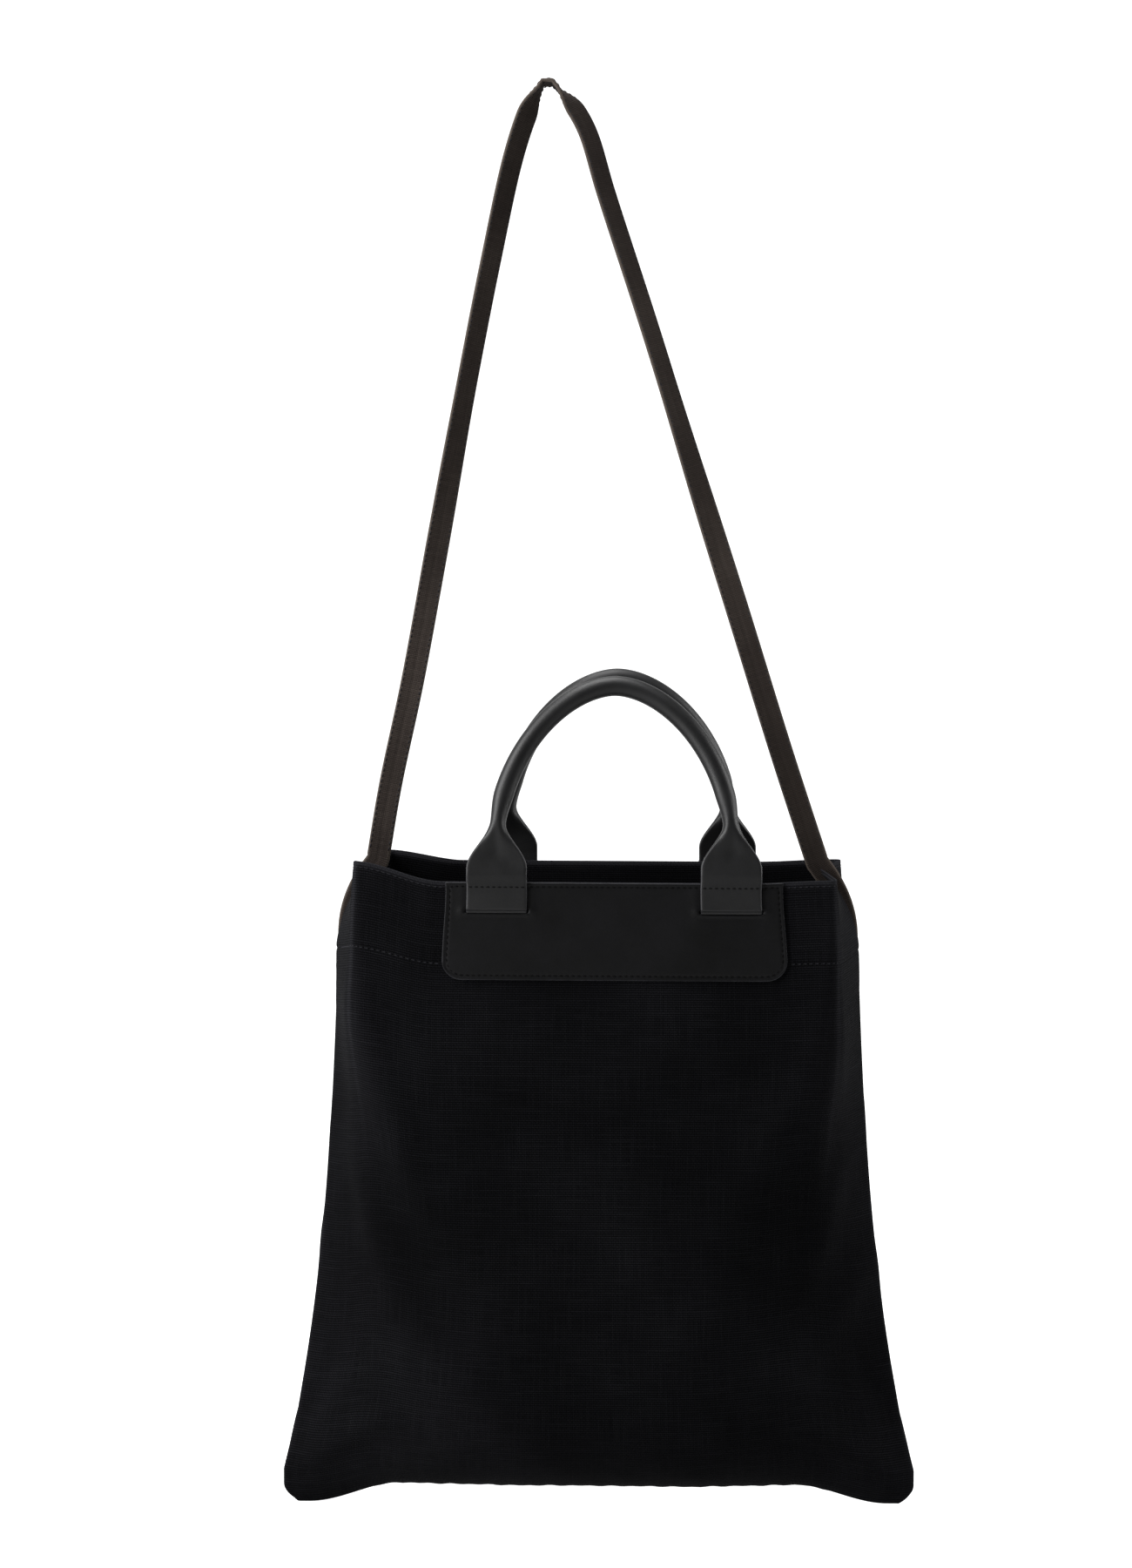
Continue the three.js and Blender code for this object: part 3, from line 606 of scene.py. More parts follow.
# %% [markdown]
# ## Leather
# The patches and handles are smooth cowhide with a fine printed grain. The flat patches stay matt,
# and the handles are semi-matt, polished by rolling and by the hands that carry them. The hide
# is darkest in the tiny creases between the grain's pebbles, a little cloudy where the hide's
# fibres lie differently, and its cut edges are painted, rubbed and slightly glossy. The grain is a
# Voronoi pattern of 0.9 mm pebbles on Object coordinates, which are the same in every direction.

# %% Leather and thread materials
GRAIN_MM = 0.9


def grained_leather(name, shades, roughness, gloss_level):
    """Fine-grained leather: pebbles of a Voronoi pattern in relief, a cloudy tone, rubbed edges."""
    material, tree, shader = new_material(name)
    place_at = add(tree, "ShaderNodeTexCoord").outputs["Object"]
    grain = add(tree, "ShaderNodeTexVoronoi", {"Vector": place_at}, {"Scale": 1000.0 / GRAIN_MM})
    patches = {"Scale": 28.0, "Detail": 5.0, "Roughness": 0.6}
    cloud = add(tree, "ShaderNodeTexNoise", {"Vector": place_at}, patches).outputs["Fac"]
    hairs = {"Scale": 300.0, "Detail": 3.0}
    fibre = add(tree, "ShaderNodeTexNoise", {"Vector": place_at}, hairs).outputs["Fac"]
    wear_and_highlight = add(tree, "ShaderNodeAttribute", attribute_name="wear_and_highlight").outputs["Fac"]
    tone = sums(tree, "MULTIPLY_ADD", {0: fibre, 2: cloud}, {1: 0.5})
    tone = sums(tree, "MULTIPLY_ADD", {0: wear_and_highlight, 2: tone}, {1: 0.6})
    tone = sums(tree, "MULTIPLY", {0: tone}, {1: 0.6})
    stops = [(0.25, shades[0]), (0.62, shades[1]), (1.0, shades[2])]
    tree.links.new(ramp(tree, tone, stops), shader.inputs["Base Color"])
    limits = {"From Min": 0.3, "From Max": 0.7, "To Min": roughness - 0.05, "To Max": roughness + 0.07}
    gloss = add(tree, "ShaderNodeMapRange", {"Value": cloud}, limits)
    tree.links.new(gloss.outputs["Result"], shader.inputs["Roughness"])
    pebbles = sums(tree, "MULTIPLY_ADD", {0: grain.outputs["Distance"], 2: fibre}, {1: -0.7})
    bump = add(tree, "ShaderNodeBump", {"Height": pebbles}, {"Strength": 0.35, "Distance": 0.12 * MM})
    tree.links.new(bump.outputs["Normal"], shader.inputs["Normal"])
    shader.inputs["IOR"].default_value = 1.5
    shader.inputs["Specular IOR Level"].default_value = gloss_level
    return material


def spun_thread(name, shades, twist_mm):
    """Sewing thread or cord: two plies wound round each other, as slanted bands on the UV map."""
    material, tree, shader = new_material(name)
    uv = add(tree, "ShaderNodeUVMap", uv_map="cloth").outputs["UV"]
    slant = add(tree, "ShaderNodeMapping", {"Vector": uv}, {"Rotation": (0.0, 0.0, math.radians(35))})
    bands = {"Scale": 1000.0 / twist_mm / 20.0, "Distortion": 0.6}
    plies = add(tree, "ShaderNodeTexWave", {"Vector": slant.outputs["Vector"]}, bands).outputs["Fac"]
    tree.links.new(ramp(tree, plies, [(0.1, shades[0]), (0.9, shades[1])]), shader.inputs["Base Color"])
    bump = add(tree, "ShaderNodeBump", {"Height": plies}, {"Strength": 0.6, "Distance": 0.1 * MM})
    tree.links.new(bump.outputs["Normal"], shader.inputs["Normal"])
    shader.inputs["Roughness"].default_value = 0.8
    shader.inputs["Specular IOR Level"].default_value = 0.03
    return material


PATCH_LEATHER = grained_leather(
    "matt_grained_cowhide_black", ("#020202", "#040405", "#1a1a1d"), 0.5, 0.07
)
HANDLE_LEATHER = grained_leather(
    "hand_polished_cowhide_black", ("#030303", "#060607", "#1a1a1d"), 0.47, 0.17
)
THREAD_BLACK = spun_thread("bonded_polyester_thread_black", ("#010101", "#040404"), 0.5)
CANVAS_THREAD = spun_thread("waxed_cotton_thread_black", ("#0b0b0c", "#1b1b1e"), 0.5)
CORD_NATURAL = spun_thread("laid_cotton_cord_undyed", ("#8f8672", "#cfc7b2"), 1.2)
for finish in (PATCH_LEATHER, HANDLE_LEATHER, THREAD_BLACK, CANVAS_THREAD, CORD_NATURAL):
    print(f"{finish.name}: {len(finish.node_tree.nodes)} nodes")

# %% [markdown]
# ## The two canvas panels
# Each panel is one sheet of cloth with a real thickness. Its rings run up the outside, over the
# rim in a half round and down the inside, and follow each other from one side seam to the other.
# The inside follows the outside at the cloth's thickness and never crosses the seam plane. The
# grid is finer at the folds, at the seams and along the two rows of stitching round the mouth.

# %% Panels
FOLD_SHARE = 0.772


def sheet_rings(lay, side, columns, rows, outer, inner):
    """Rings of a sheet between two distances from the surface, rounded over its top edge, with their UV map
    and a value that paints highlight along the rim, the upper folds and the side seams. lay is cloth or
    plain."""
    middle, half = (outer + inner) / 2, (outer - inner) / 2
    turn = np.linspace(0.0, np.pi, 7)[1:-1]
    ups = np.concatenate([rows, np.full(len(turn), rows[-1]), rows[::-1]])
    outs = np.full(len(ups), outer)
    outs[len(rows) :] = inner
    outs[len(rows) : len(rows) + len(turn)] = middle + half * np.cos(turn)
    over = np.zeros(len(ups))
    over[len(rows) : len(rows) + len(turn)] = half * np.sin(turn)
    rings = lay(side, columns[:, None], ups[None, :], outs[None, :])
    rings[..., 2] += over
    u, v = np.broadcast_arrays(columns[:, None] * HALF_GIRTH, ups * FACE_HEIGHT + over)
    v = np.where(np.arange(len(ups)) < len(rows), v, 2 * FACE_HEIGHT * rows[-1] - v)
    uv = np.stack([u, v], -1)
    # painted highlight: the rim, the upper folds and the side seams are made paler, as where they catch the
    # light
    rubbed = bell(1.0 - ups[None, :], 0.0, 0.006) + 0.0 * columns[:, None]
    fold = bell(np.abs(columns[:, None]), FOLD_SHARE, 0.012) * rise(0.45, 0.95, ups[None, :])
    seam = bell(np.abs(columns[:, None]), 1.0, 0.012)
    wear_and_highlight = np.clip(rubbed + 0.5 * fold + 0.3 * seam, 0.0, 1.0)
    return rings, np.concatenate([uv, uv[:, -1:]], 1), wear_and_highlight


def column_density(share):
    """Finer at the folds and at the side seams."""
    return 1.0 + 2.5 * bell(np.abs(share), FOLD_SHARE, 0.05) + 3.0 * bell(np.abs(share), 1.0, 0.025)


def row_density(up):
    """Finer at the bottom seam, at the hem stitching and at the rim."""
    fine = bell(up, below(HEM_DEPTH), 0.012) + bell(up, 1.0, 0.02) + bell(up, 0.0, 0.06)
    return 1.0 + 4.0 * fine


panel_columns = spread(-1.0, 1.0, 190, column_density)
panel_rows = spread(0.0, 1.0, 150, row_density)
for name, side in SIDES:
    rings, uv, wear_and_highlight = sheet_rings(cloth, side, panel_columns, panel_rows, 0.0, -CANVAS)
    panel = loft(f"{name}_canvas", rings, uv, CANVAS_BLACK, wear_and_highlight)
    place(panel, "bag", "canvas", [f"{name}_panel"])

# %% [markdown]
# ## Facings
# A band of the same canvas lines the mouth. It is sewn to the panel at the rim, turned in and
# stitched down 48 mm lower, which is the row of stitches seen on the outside. Its top edge lies
# beside the panel's, so the rim shows two thin edges.

# %% Facings
facing_columns = spread(-0.985, 0.985, 130, column_density)
facing_rows = spread(below(HEM_DEPTH + 5.0), 0.9975, 26, row_density)
for name, side in SIDES:
    rings, uv, wear_and_highlight = sheet_rings(cloth, side, facing_columns, facing_rows, -CANVAS - 0.15, -CANVAS - 0.95)
    facing = loft(f"{name}_turned_facing", rings, uv, CANVAS_BLACK, wear_and_highlight)
    place(facing, "bag", "canvas", [f"{name}_facing"])


# %% [markdown]
# ## Seam tapes
# Inside the bag the raw edges of the two panels are bound with a woven tape along each side seam
# and along the bottom. A tape is a flat strip with round edges: a small rounded section carried
# along the seam, a few millimetres inside it.

# %% Flat strips
def strip_section(half_width, half_thick, steps=9):
    """A flat section with round edges, as (m, 2) points: a half circle, a straight, a half circle
    and a straight back."""
    turn = np.linspace(-np.pi / 2, np.pi / 2, steps)
    cap = np.stack([half_width - half_thick + half_thick * np.cos(turn), half_thick * np.sin(turn)], -1)
    flat_x = np.linspace(half_width - half_thick, half_thick - half_width, steps + 2)[1:-1]
    top = np.stack([flat_x, np.full(steps, half_thick)], -1)
    return np.concatenate([cap, top, -cap, -top])


def sweep_strip(middles, wide, thin, section):
    """A section carried along a line: its first axis lies along wide and its second along thin."""
    rings = middles[:, None] + wide[:, None] * section[:, :1] + thin[:, None] * section[:, 1:]
    around = lengths(np.concatenate([section, section[:1]]))
    u, v = np.broadcast_arrays(around[None, :], lengths(middles)[:, None])
    return rings, np.stack([u, v], -1)


TAPE_FROM_SEAM = 7.75
tape_section = strip_section(4.25, 0.5)
for name, hand in (("left", -1), ("right", 1)):
    z = np.linspace(45.0, 338.0, 90)
    middles = np.stack([hand * (seam_x(z) - TAPE_FROM_SEAM), 0.0 * z, z], -1)
    wide = np.broadcast_to([1.0, 0.0, 0.0], middles.shape)
    thin = np.broadcast_to([0.0, 1.0, 0.0], middles.shape)
    tape = loft(f"{name}_seam_tape", *sweep_strip(middles, wide, thin, tape_section), TAPE_BLACK)
    place(tape, "bag", "binding_tape", [f"{name}_seam_binding"])

x = np.linspace(-150.0, 150.0, 120)
middles = np.stack([x, 0.0 * x, seam_lift(x / seam_x(11.0)) + TAPE_FROM_SEAM], -1)
upward = unit(np.cross([0.0, -1.0, 0.0], np.gradient(middles, axis=0)))
sideways = np.broadcast_to([0.0, 1.0, 0.0], middles.shape)
tape = loft("bottom_seam_tape", *sweep_strip(middles, upward, sideways, tape_section), TAPE_BLACK)
place(tape, "bag", "binding_tape", ["bottom_seam_binding"])

# %% [markdown]
# ## Leather patches
# A patch is one flat piece of leather with its two lower corners rounded. Each handle end goes
# into it through a slit: the leather dips into the slit, its lower lip stands up a little and the
# slit's ends are pulled into small dimples. The patch is a sheet like the canvas, whose columns
# end on the rounded corners, and the slits are pressed into it by the same kind of bell-shaped
# heights as the cloth's folds.

# %% Patches
PATCH_HALF = 101.0
PATCH_HEIGHT = 57.5
PATCH_RADIUS = 12.0
PATCH_TOP = 0.2
PATCH_OUT = GAP + LEATHER
TAB_HALF = 18.2
TAB_DEPTH = 16.4
TAB_BACK = PATCH_OUT + GAP
TAB_THICK = 2.2
HANDLE_ENDS = ((-1, FITTING_X - HANDLE_HALF_SPAN), (1, FITTING_X + HANDLE_HALF_SPAN))


def patch_bottom(x):
    """How far below the rim the patch ends: straight, then a quarter circle at each corner."""
    into = np.clip(np.abs(x) - (PATCH_HALF - PATCH_RADIUS), 0.0, PATCH_RADIUS)
    return PATCH_HEIGHT - PATCH_RADIUS + np.sqrt(PATCH_RADIUS**2 - into**2)


def slit_press(x, depth):
    """Height of the patch round its two slits, in millimetres: x is from the middle of the bag."""
    total = 0.0
    for _, middle in HANDLE_ENDS:
        off = np.abs(x - middle)
        inside = 1.0 - rise(TAB_HALF + 0.2, TAB_HALF + 1.2, off)
        slit = rise(15.2, 15.9, depth) * (1.0 - rise(17.4, 18.1, depth))
        lip = bell(depth, 18.9, 0.9)
        dimple = bell(off, TAB_HALF + 2.2, 2.6) * bell(depth, 16.8, 2.6)
        shoulder = bell(off, TAB_HALF + 3.0, 3.0) * rise(0.0, 6.0, depth) * rise(26.0, 17.0, depth)
        total = total + inside * (0.55 * lip - 1.25 * slit) + 0.55 * dimple + 0.25 * shoulder
    return total


def patch_row_density(share):
    """Finer at both ends, where the edges are rounded, and at the slits."""
    depth = (1.0 - share) * PATCH_HEIGHT
    ends = bell(depth, 0.0, 1.5) + bell(share, 0.0, 0.03)
    return 1.0 + 2.0 * bell(depth, 17.0, 3.0) + 3.0 * ends


left_corner = -PATCH_HALF + PATCH_RADIUS * (1.0 - np.cos(np.linspace(0.0, np.pi / 2, 18))[:-1])
straight = np.linspace(PATCH_RADIUS - PATCH_HALF, PATCH_HALF - PATCH_RADIUS, 190)
patch_x = np.concatenate([left_corner, straight, -left_corner[::-1]])
patch_share = spread(0.0, 1.0, 84, patch_row_density)
edge_turn = np.linspace(0.0, np.pi, 6)[1:-1]
patch_ring = np.concatenate([patch_share, np.ones(4), patch_share[::-1], np.zeros(4)])
rows = len(patch_share)
across_edge = (1 + np.cos(edge_turn)) / 2
outer_share = np.concatenate([np.ones(rows), across_edge, np.zeros(rows), 1 - across_edge])
bulge = np.concatenate([np.zeros(rows), np.sin(edge_turn), np.zeros(rows), -np.sin(edge_turn)])
x, share = patch_x[:, None], patch_ring[None, :]
depth = patch_bottom(x) * (1.0 - share) + PATCH_TOP * share - bulge * 0.4
end_round = np.sqrt(1.0 - (1.0 - np.clip((PATCH_HALF - np.abs(x)) / 0.7, 0.0, 1.0)) ** 2)
thick = LEATHER * (0.45 + 0.55 * end_round)
out = GAP + (LEATHER - thick) / 2 + thick * outer_share
out = out + slit_press(x + FITTING_X, depth) * (0.3 + 0.7 * outer_share)
out = np.maximum(out, 0.12 + 0.2 * outer_share)
from_edge = np.minimum(np.minimum(patch_bottom(x) - depth, depth), PATCH_HALF - np.abs(x))
out = out - 0.3 * bell(from_edge, 2.4, 0.7) * outer_share
wear_and_highlight = np.clip(bell(from_edge, 0.0, 0.45), 0.0, 1.0)
uv = np.stack(np.broadcast_arrays(x, -depth), -1)
for name, side in SIDES:
    rings = plain(side, girth(side, x + FITTING_X), below(depth), out)
    patch = loft(f"{name}_leather_patch", rings, np.concatenate([uv, uv[:, :1]], 1), PATCH_LEATHER, wear_and_highlight)
    place(patch, "bag", "leather", [f"{name}_patch"])

# %% [markdown]
# ## Handles
# Each handle is one strip of leather. Its two flat ends are sewn over the patch and tucked into
# the slits, and between them its edges are rolled together round a cotton cord, so it narrows to
# a neck like the shoulders of a bottle and goes on as a round grip. The path follows the patch up
# to the rim and then an arch, and the section changes from a flat strip to a circle along it. The
# roll's seam is on the inside of the arch, and the shoulders have a soft valley down their front.

# %% Handle path
GRIP_RADIUS = 6.2
GRIP_SPRING_Z = 420.0
GRIP_RISE = {-1: 87.0, 1: 89.0}  # front and back: the back handle stands more upright
GRIP_FOOT_Z = 396.5
GRIP_LEAN = {-1: 30.0, 1: 14.0}
SHOULDER_Z = 400.0
NECK_Z = 427.0
NECK_HALF = 4.7
STRIP_FADES = (404.0, 424.0)  # the strip's section turns into a circle over these heights
END_Y = MOUTH_HALF_DEPTH + TAB_BACK + TAB_THICK / 2


def grip_point(side, t):
    """The middle of the grip, t from 0 to 1: straight up, then an arch between a parabola and an
    ellipse, leaning over the mouth."""
    foot = (GRIP_SPRING_Z - GRIP_FOOT_Z) / GRIP_RISE[side] / 3.0
    s = np.abs(2.0 * t - 1.0)
    angle = np.minimum(s / (1.0 - foot), 1.0) * np.pi / 2
    straight = np.maximum((s - 1.0 + foot) / foot, 0.0)
    power = 2.0 / 1.8
    x = HANDLE_HALF_SPAN * np.sin(angle) ** power
    z = GRIP_SPRING_Z + GRIP_RISE[side] * np.maximum(np.cos(angle), 0.0) ** power
    z = z + (GRIP_FOOT_Z - z) * straight
    leant = (z - GRIP_FOOT_Z) / (GRIP_SPRING_Z + GRIP_RISE[side] - GRIP_FOOT_Z)
    y = side * (END_Y - GRIP_LEAN[side] * leant**1.1)
    return np.stack([FITTING_X + np.sign(t - 0.5) * x, y, z], -1)


def grip_frames(side, t):
    """Along the grip: its middles, the way out of the arch and the way to the back."""
    step = 0.003
    after, before = np.minimum(t + step, 1.0), np.maximum(t - step, 0.0)
    ahead = unit(grip_point(side, after) - grip_point(side, before))
    back = np.broadcast_to([0.0, 1.0, 0.0], ahead.shape)
    back = unit(back - ahead * np.sum(back * ahead, -1, keepdims=True))
    return grip_point(side, t), np.cross(ahead, back), back


# %% Handle section
def unit_sections():
    """Two closed outlines of 80 points in step with each other: a circle, and a flat strip with
    rounded edges, both one unit wide and one unit thick each way from the middle."""
    quarter = np.linspace(0.0, np.pi / 2, 21)[:-1]
    circle = np.stack([np.cos(quarter), np.sin(quarter)], -1)
    edge = np.linspace(0.0, np.pi / 2, 8)
    cap_x = 1.0 - 0.05 + 0.05 * np.cos(edge)
    cap_y = 0.35 * np.linspace(0.0, 1.0, 8) + 0.65 * np.sin(edge)
    flat_x = np.linspace(0.95, 0.0, 14)[1:-1]
    strip = np.concatenate([np.stack([cap_x, cap_y], -1), np.stack([flat_x, np.ones(12)], -1)])
    whole = []
    for shape in (circle, strip):
        other = np.concatenate([shape[1:], [[0.0, 1.0]]])[::-1] * [-1, 1]
        half = np.concatenate([shape, other])
        whole.append(np.concatenate([half, -half]))
    return whole


CIRCLE, STRIP = unit_sections()
RING_ANGLE = np.arctan2(CIRCLE[:, 1], CIRCLE[:, 0])


def handle_section(side, z):
    """Half sizes change from the flat end to the neck to the round grip, the front of the
    shoulders has a soft valley, and the roll's seam is a groove on the inside of the arch."""
    z = z[:, None]
    neck, grip = rise(SHOULDER_Z, NECK_Z, z), rise(NECK_Z, NECK_Z + 17.0, z)
    across = TAB_HALF + (NECK_HALF - TAB_HALF) * neck
    across = across + (GRIP_RADIUS - across) * grip
    deep = TAB_THICK / 2 + (6.0 - TAB_THICK / 2) * neck**1.4
    deep = deep + (GRIP_RADIUS - deep) * grip
    flat = 1.0 - rise(*STRIP_FADES, z)
    shape_x = CIRCLE[:, 0] * (1 - flat) + STRIP[:, 0] * flat
    shape_y = CIRCLE[:, 1] * (1 - flat) + STRIP[:, 1] * flat
    away = np.pi - np.abs(RING_ANGLE)
    groove = 1.0 - 0.13 * bell(away, 0.0, 0.16) * rise(430.0, 446.0, z)
    x, y = across * shape_x * groove, deep * shape_y * groove
    valley = bell(x, 0.8, 2.8 + 3.2 * (1 - neck)) * rise(402.0, 412.0, z) * (1.0 - rise(420.0, 434.0, z))
    outer_face = np.clip(side * shape_y, 0.0, 1.0)
    y = y - side * 0.8 * valley * outer_face
    return x, y


# %% Handles
tab_depth = np.concatenate(
    [
        [TAB_DEPTH + 1.4],
        np.linspace(TAB_DEPTH + 0.9, TAB_DEPTH - 1.6, 8),
        np.linspace(TAB_DEPTH - 2.4, 0.5, 20),
    ]
)
tuck = rise(TAB_DEPTH - 1.2, TAB_DEPTH + 0.8, tab_depth)[:, None]
tab_middle = TAB_BACK + TAB_THICK / 2 - 1.75 * tuck
tab_x, tab_y = STRIP[:, 0] * TAB_HALF, STRIP[:, 1] * TAB_THICK / 2 * (1.0 - 0.15 * tuck)
ease = np.linspace(0.0, 1.0, 180)
grip_t = ease - 0.6 * np.sin(2 * np.pi * ease) / (2 * np.pi)
rim_z = np.array([392.2, 393.6, 395.0])
for name, side in SIDES:
    middles, outward, back = grip_frames(side, grip_t)
    x, y = handle_section(side, middles[:, 2])
    grip = middles[:, None] + outward[:, None] * x[..., None] + back[:, None] * y[..., None]
    parts = []
    for hand, tab_at in HANDLE_ENDS:
        width = tab_at + hand * tab_x
        tab = plain(side, girth(side, width), below(tab_depth[:, None]), tab_middle + side * tab_y)
        risen = np.stack(np.broadcast_arrays(width, side * END_Y + tab_y[-1], rim_z[:, None]), -1)
        parts.append(np.concatenate([tab, risen]))
    rings = np.concatenate([parts[0], grip, parts[1][::-1]])
    around = lengths(np.concatenate([CIRCLE, CIRCLE[:1]])) * GRIP_RADIUS
    ring_middles = rings.mean(axis=1)
    u, v = np.broadcast_arrays(around[None, :], lengths(ring_middles)[:, None])
    flat_edge = bell(np.abs(STRIP[:, 0]), 1.0, 0.04)[None, :]
    wear_and_highlight = flat_edge * (1.0 - rise(*STRIP_FADES, ring_middles[:, 2:3]))
    handle = loft(f"{name}_rolled_handle", rings, np.stack([u, v], -1), HANDLE_LEATHER, wear_and_highlight)
    nodes = [f"{name}_handle", f"{name}_tab_left", f"{name}_tab_right"]
    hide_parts(*nodes)
    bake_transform(handle)
    print(handle.name, len(handle.data.polygons), "faces")

# %% [markdown]
# ## Cotton cord in the handles
# The leather is rolled round a laid cotton cord of three strands. Its section is a circle with
# three shallow lobes, and the lobes turn steadily along it, as the strands of a rope do.

# %% Cords
cord_t = np.linspace(0.20, 0.80, 150)
cord_angle = np.linspace(0.0, 2 * np.pi, 24, endpoint=False)
LAY_MM = 26.0  # length of one full turn of a strand
for name, side in SIDES:
    middles, outward, back = grip_frames(side, cord_t)
    far = lengths(middles)
    lobes = 4.35 + 0.4 * np.cos(3 * (cord_angle[None, :] - 2 * np.pi * far[:, None] / LAY_MM))
    x, y = lobes * np.cos(cord_angle), lobes * np.sin(cord_angle)
    rings = middles[:, None] + outward[:, None] * x[..., None] + back[:, None] * y[..., None]
    u, v = np.broadcast_arrays(np.linspace(0.0, 26.0, 25)[None, :], far[:, None])
    cord = loft(f"{name}_handle_cord", rings, np.stack([u, v], -1), CORD_NATURAL)
    place(cord, f"{name}_handle", "cotton_core", [f"{name}_handle_core"])

# %% [markdown]
# ## Shoulder strap
# The strap is a strip of canvas folded so that its raw edges meet inside, stitched along both sides. Its
# ends are caught in the side seams. It hangs from its highest point: there it bends over what holds it, so
# it turns edge-on from one leg to the other. It is a flat section carried along a smooth curve through the
# strap's points, with its own turn at each point.

# %% Strap path
STRAP_HALF = 7.2
STRAP_THICK = 2.4
LEFT_LEG = [
    (-136, 397.6), (-128, 444), (-114, 509), (-98, 595), (-82, 682),
    (-65, 768), (-50.5, 833), (-40.5, 862), (-33, 876),
]
RIGHT_LEG = [
    (-27, 876), (-16, 864), (-6, 847), (6, 808), (33, 725),
    (60, 638), (87, 552), (114, 465), (136, 397.6),
]


def smooth_line(points, count):
    """A centripetal Catmull-Rom curve through the points, at evenly spaced places."""
    p = np.array(points, float)
    p = np.concatenate([[2 * p[0] - p[1]], p, [2 * p[-1] - p[-2]]])
    gap = np.linalg.norm(np.diff(p, axis=0), axis=1)[:, None] ** 0.5
    a, b, c = gap[:-2], gap[1:-1], gap[2:]
    start = ((p[1:-2] - p[:-3]) / a - (p[2:-1] - p[:-3]) / (a + b) + (p[2:-1] - p[1:-2]) / b) * b
    end = ((p[2:-1] - p[1:-2]) / b - (p[3:] - p[1:-2]) / (b + c) + (p[3:] - p[2:-1]) / c) * b
    t = np.linspace(0.0, 1.0, 40, endpoint=False)[None, :, None]
    p1, p2, m1, m2 = (v[:, None] for v in (p[1:-2], p[2:-1], start, end))
    curve = p1 + m1 * t + (3 * (p2 - p1) - 2 * m1 - m2) * t**2 + (2 * (p1 - p2) + m1 + m2) * t**3
    curve = np.concatenate([curve.reshape(-1, 2), p[-2:-1]])
    far = lengths(curve)
    even = np.linspace(0.0, far[-1], count)
    return np.stack([np.interp(even, far, curve[:, 0]), np.interp(even, far, curve[:, 1])], -1)


tail_z = np.linspace(346.8, 392.0, 26)
tail_x = seam_x(tail_z) - 7.6 * (1.0 - (tail_z - tail_z[0]) / (tail_z[-1] - tail_z[0]))
left_tail, right_tail = np.stack([-tail_x, tail_z], -1), np.stack([tail_x, tail_z], -1)[::-1]
strap_line = np.concatenate(
    [left_tail, smooth_line(LEFT_LEG, 240), smooth_line(RIGHT_LEG, 240), right_tail]
)
strap_far = lengths(strap_line)
apex_at = np.interp(0.5, [0, 1], strap_far[[len(left_tail) + 239, len(left_tail) + 240]])
from_apex = strap_far - apex_at
strap_middle = np.stack([strap_line[:, 0], 0.0 * strap_far, strap_line[:, 1]], -1)
ahead = unit(np.gradient(strap_middle, axis=0))
ahead[1:-1] = unit(ahead[:-2] + 2 * ahead[1:-1] + ahead[2:])
outward = np.stack([-ahead[:, 2], 0.0 * strap_far, ahead[:, 0]], -1)
front = np.broadcast_to([0.0, -1.0, 0.0], outward.shape)
slack_turn = 0.66 * rise(540.0, 700.0, strap_line[:, 1])
edge_on = slack_turn + (np.pi / 2 - slack_turn) * (1.0 - rise(5.0, 26.0, np.abs(from_apex)))
turn = np.where(from_apex < 0, edge_on, np.pi - edge_on)[:, None]
strap_wide = outward * np.cos(turn) + front * np.sin(turn)
strap_thin = front * np.cos(turn) - outward * np.sin(turn)
print(f"strap: {strap_far[-1] - 2 * lengths(left_tail)[-1]:.0f} mm from foot to foot")

# %% Strap
strap_section = strip_section(STRAP_HALF, STRAP_THICK / 2, 11)
crease, ribs = bell(strap_section[:, 0], 0.0, 0.9), bell(np.abs(strap_section[:, 0]), 5.4, 0.8)
hollow = 1.0 - 0.22 * crease + 0.08 * ribs
strap_section = strap_section * np.stack([np.ones(len(hollow)), hollow], -1)
rings, uv = sweep_strip(strap_middle, strap_wide, strap_thin, strap_section)
wear_and_highlight = np.broadcast_to(bell(np.abs(strap_section[:, 0]), STRAP_HALF, 1.3), rings.shape[:2])
strap = loft("canvas_shoulder_strap", rings, uv, STRAP_BLACK, 0.8 * wear_and_highlight)
STRAP_NODES = ["shoulder_strap", "strap_tail_left", "strap_tail_right"]
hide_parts(*STRAP_NODES)
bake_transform(strap)
print(strap.name, len(strap.data.polygons), "faces")

# %% [markdown]
# ## Stitching
# Every seam is sewn with separate stitches that can be seen: short pieces of thread that stand up
# in the middle and dip into the cloth at both ends. One stitch is a small capsule of a few dozen
# faces. All stitches of a row are placed at once as one array, each along its own direction and
# out of the cloth at its own place.

# %% Stitches
STITCH_PITCH = 3.4
STITCH_LENGTH = 2.7


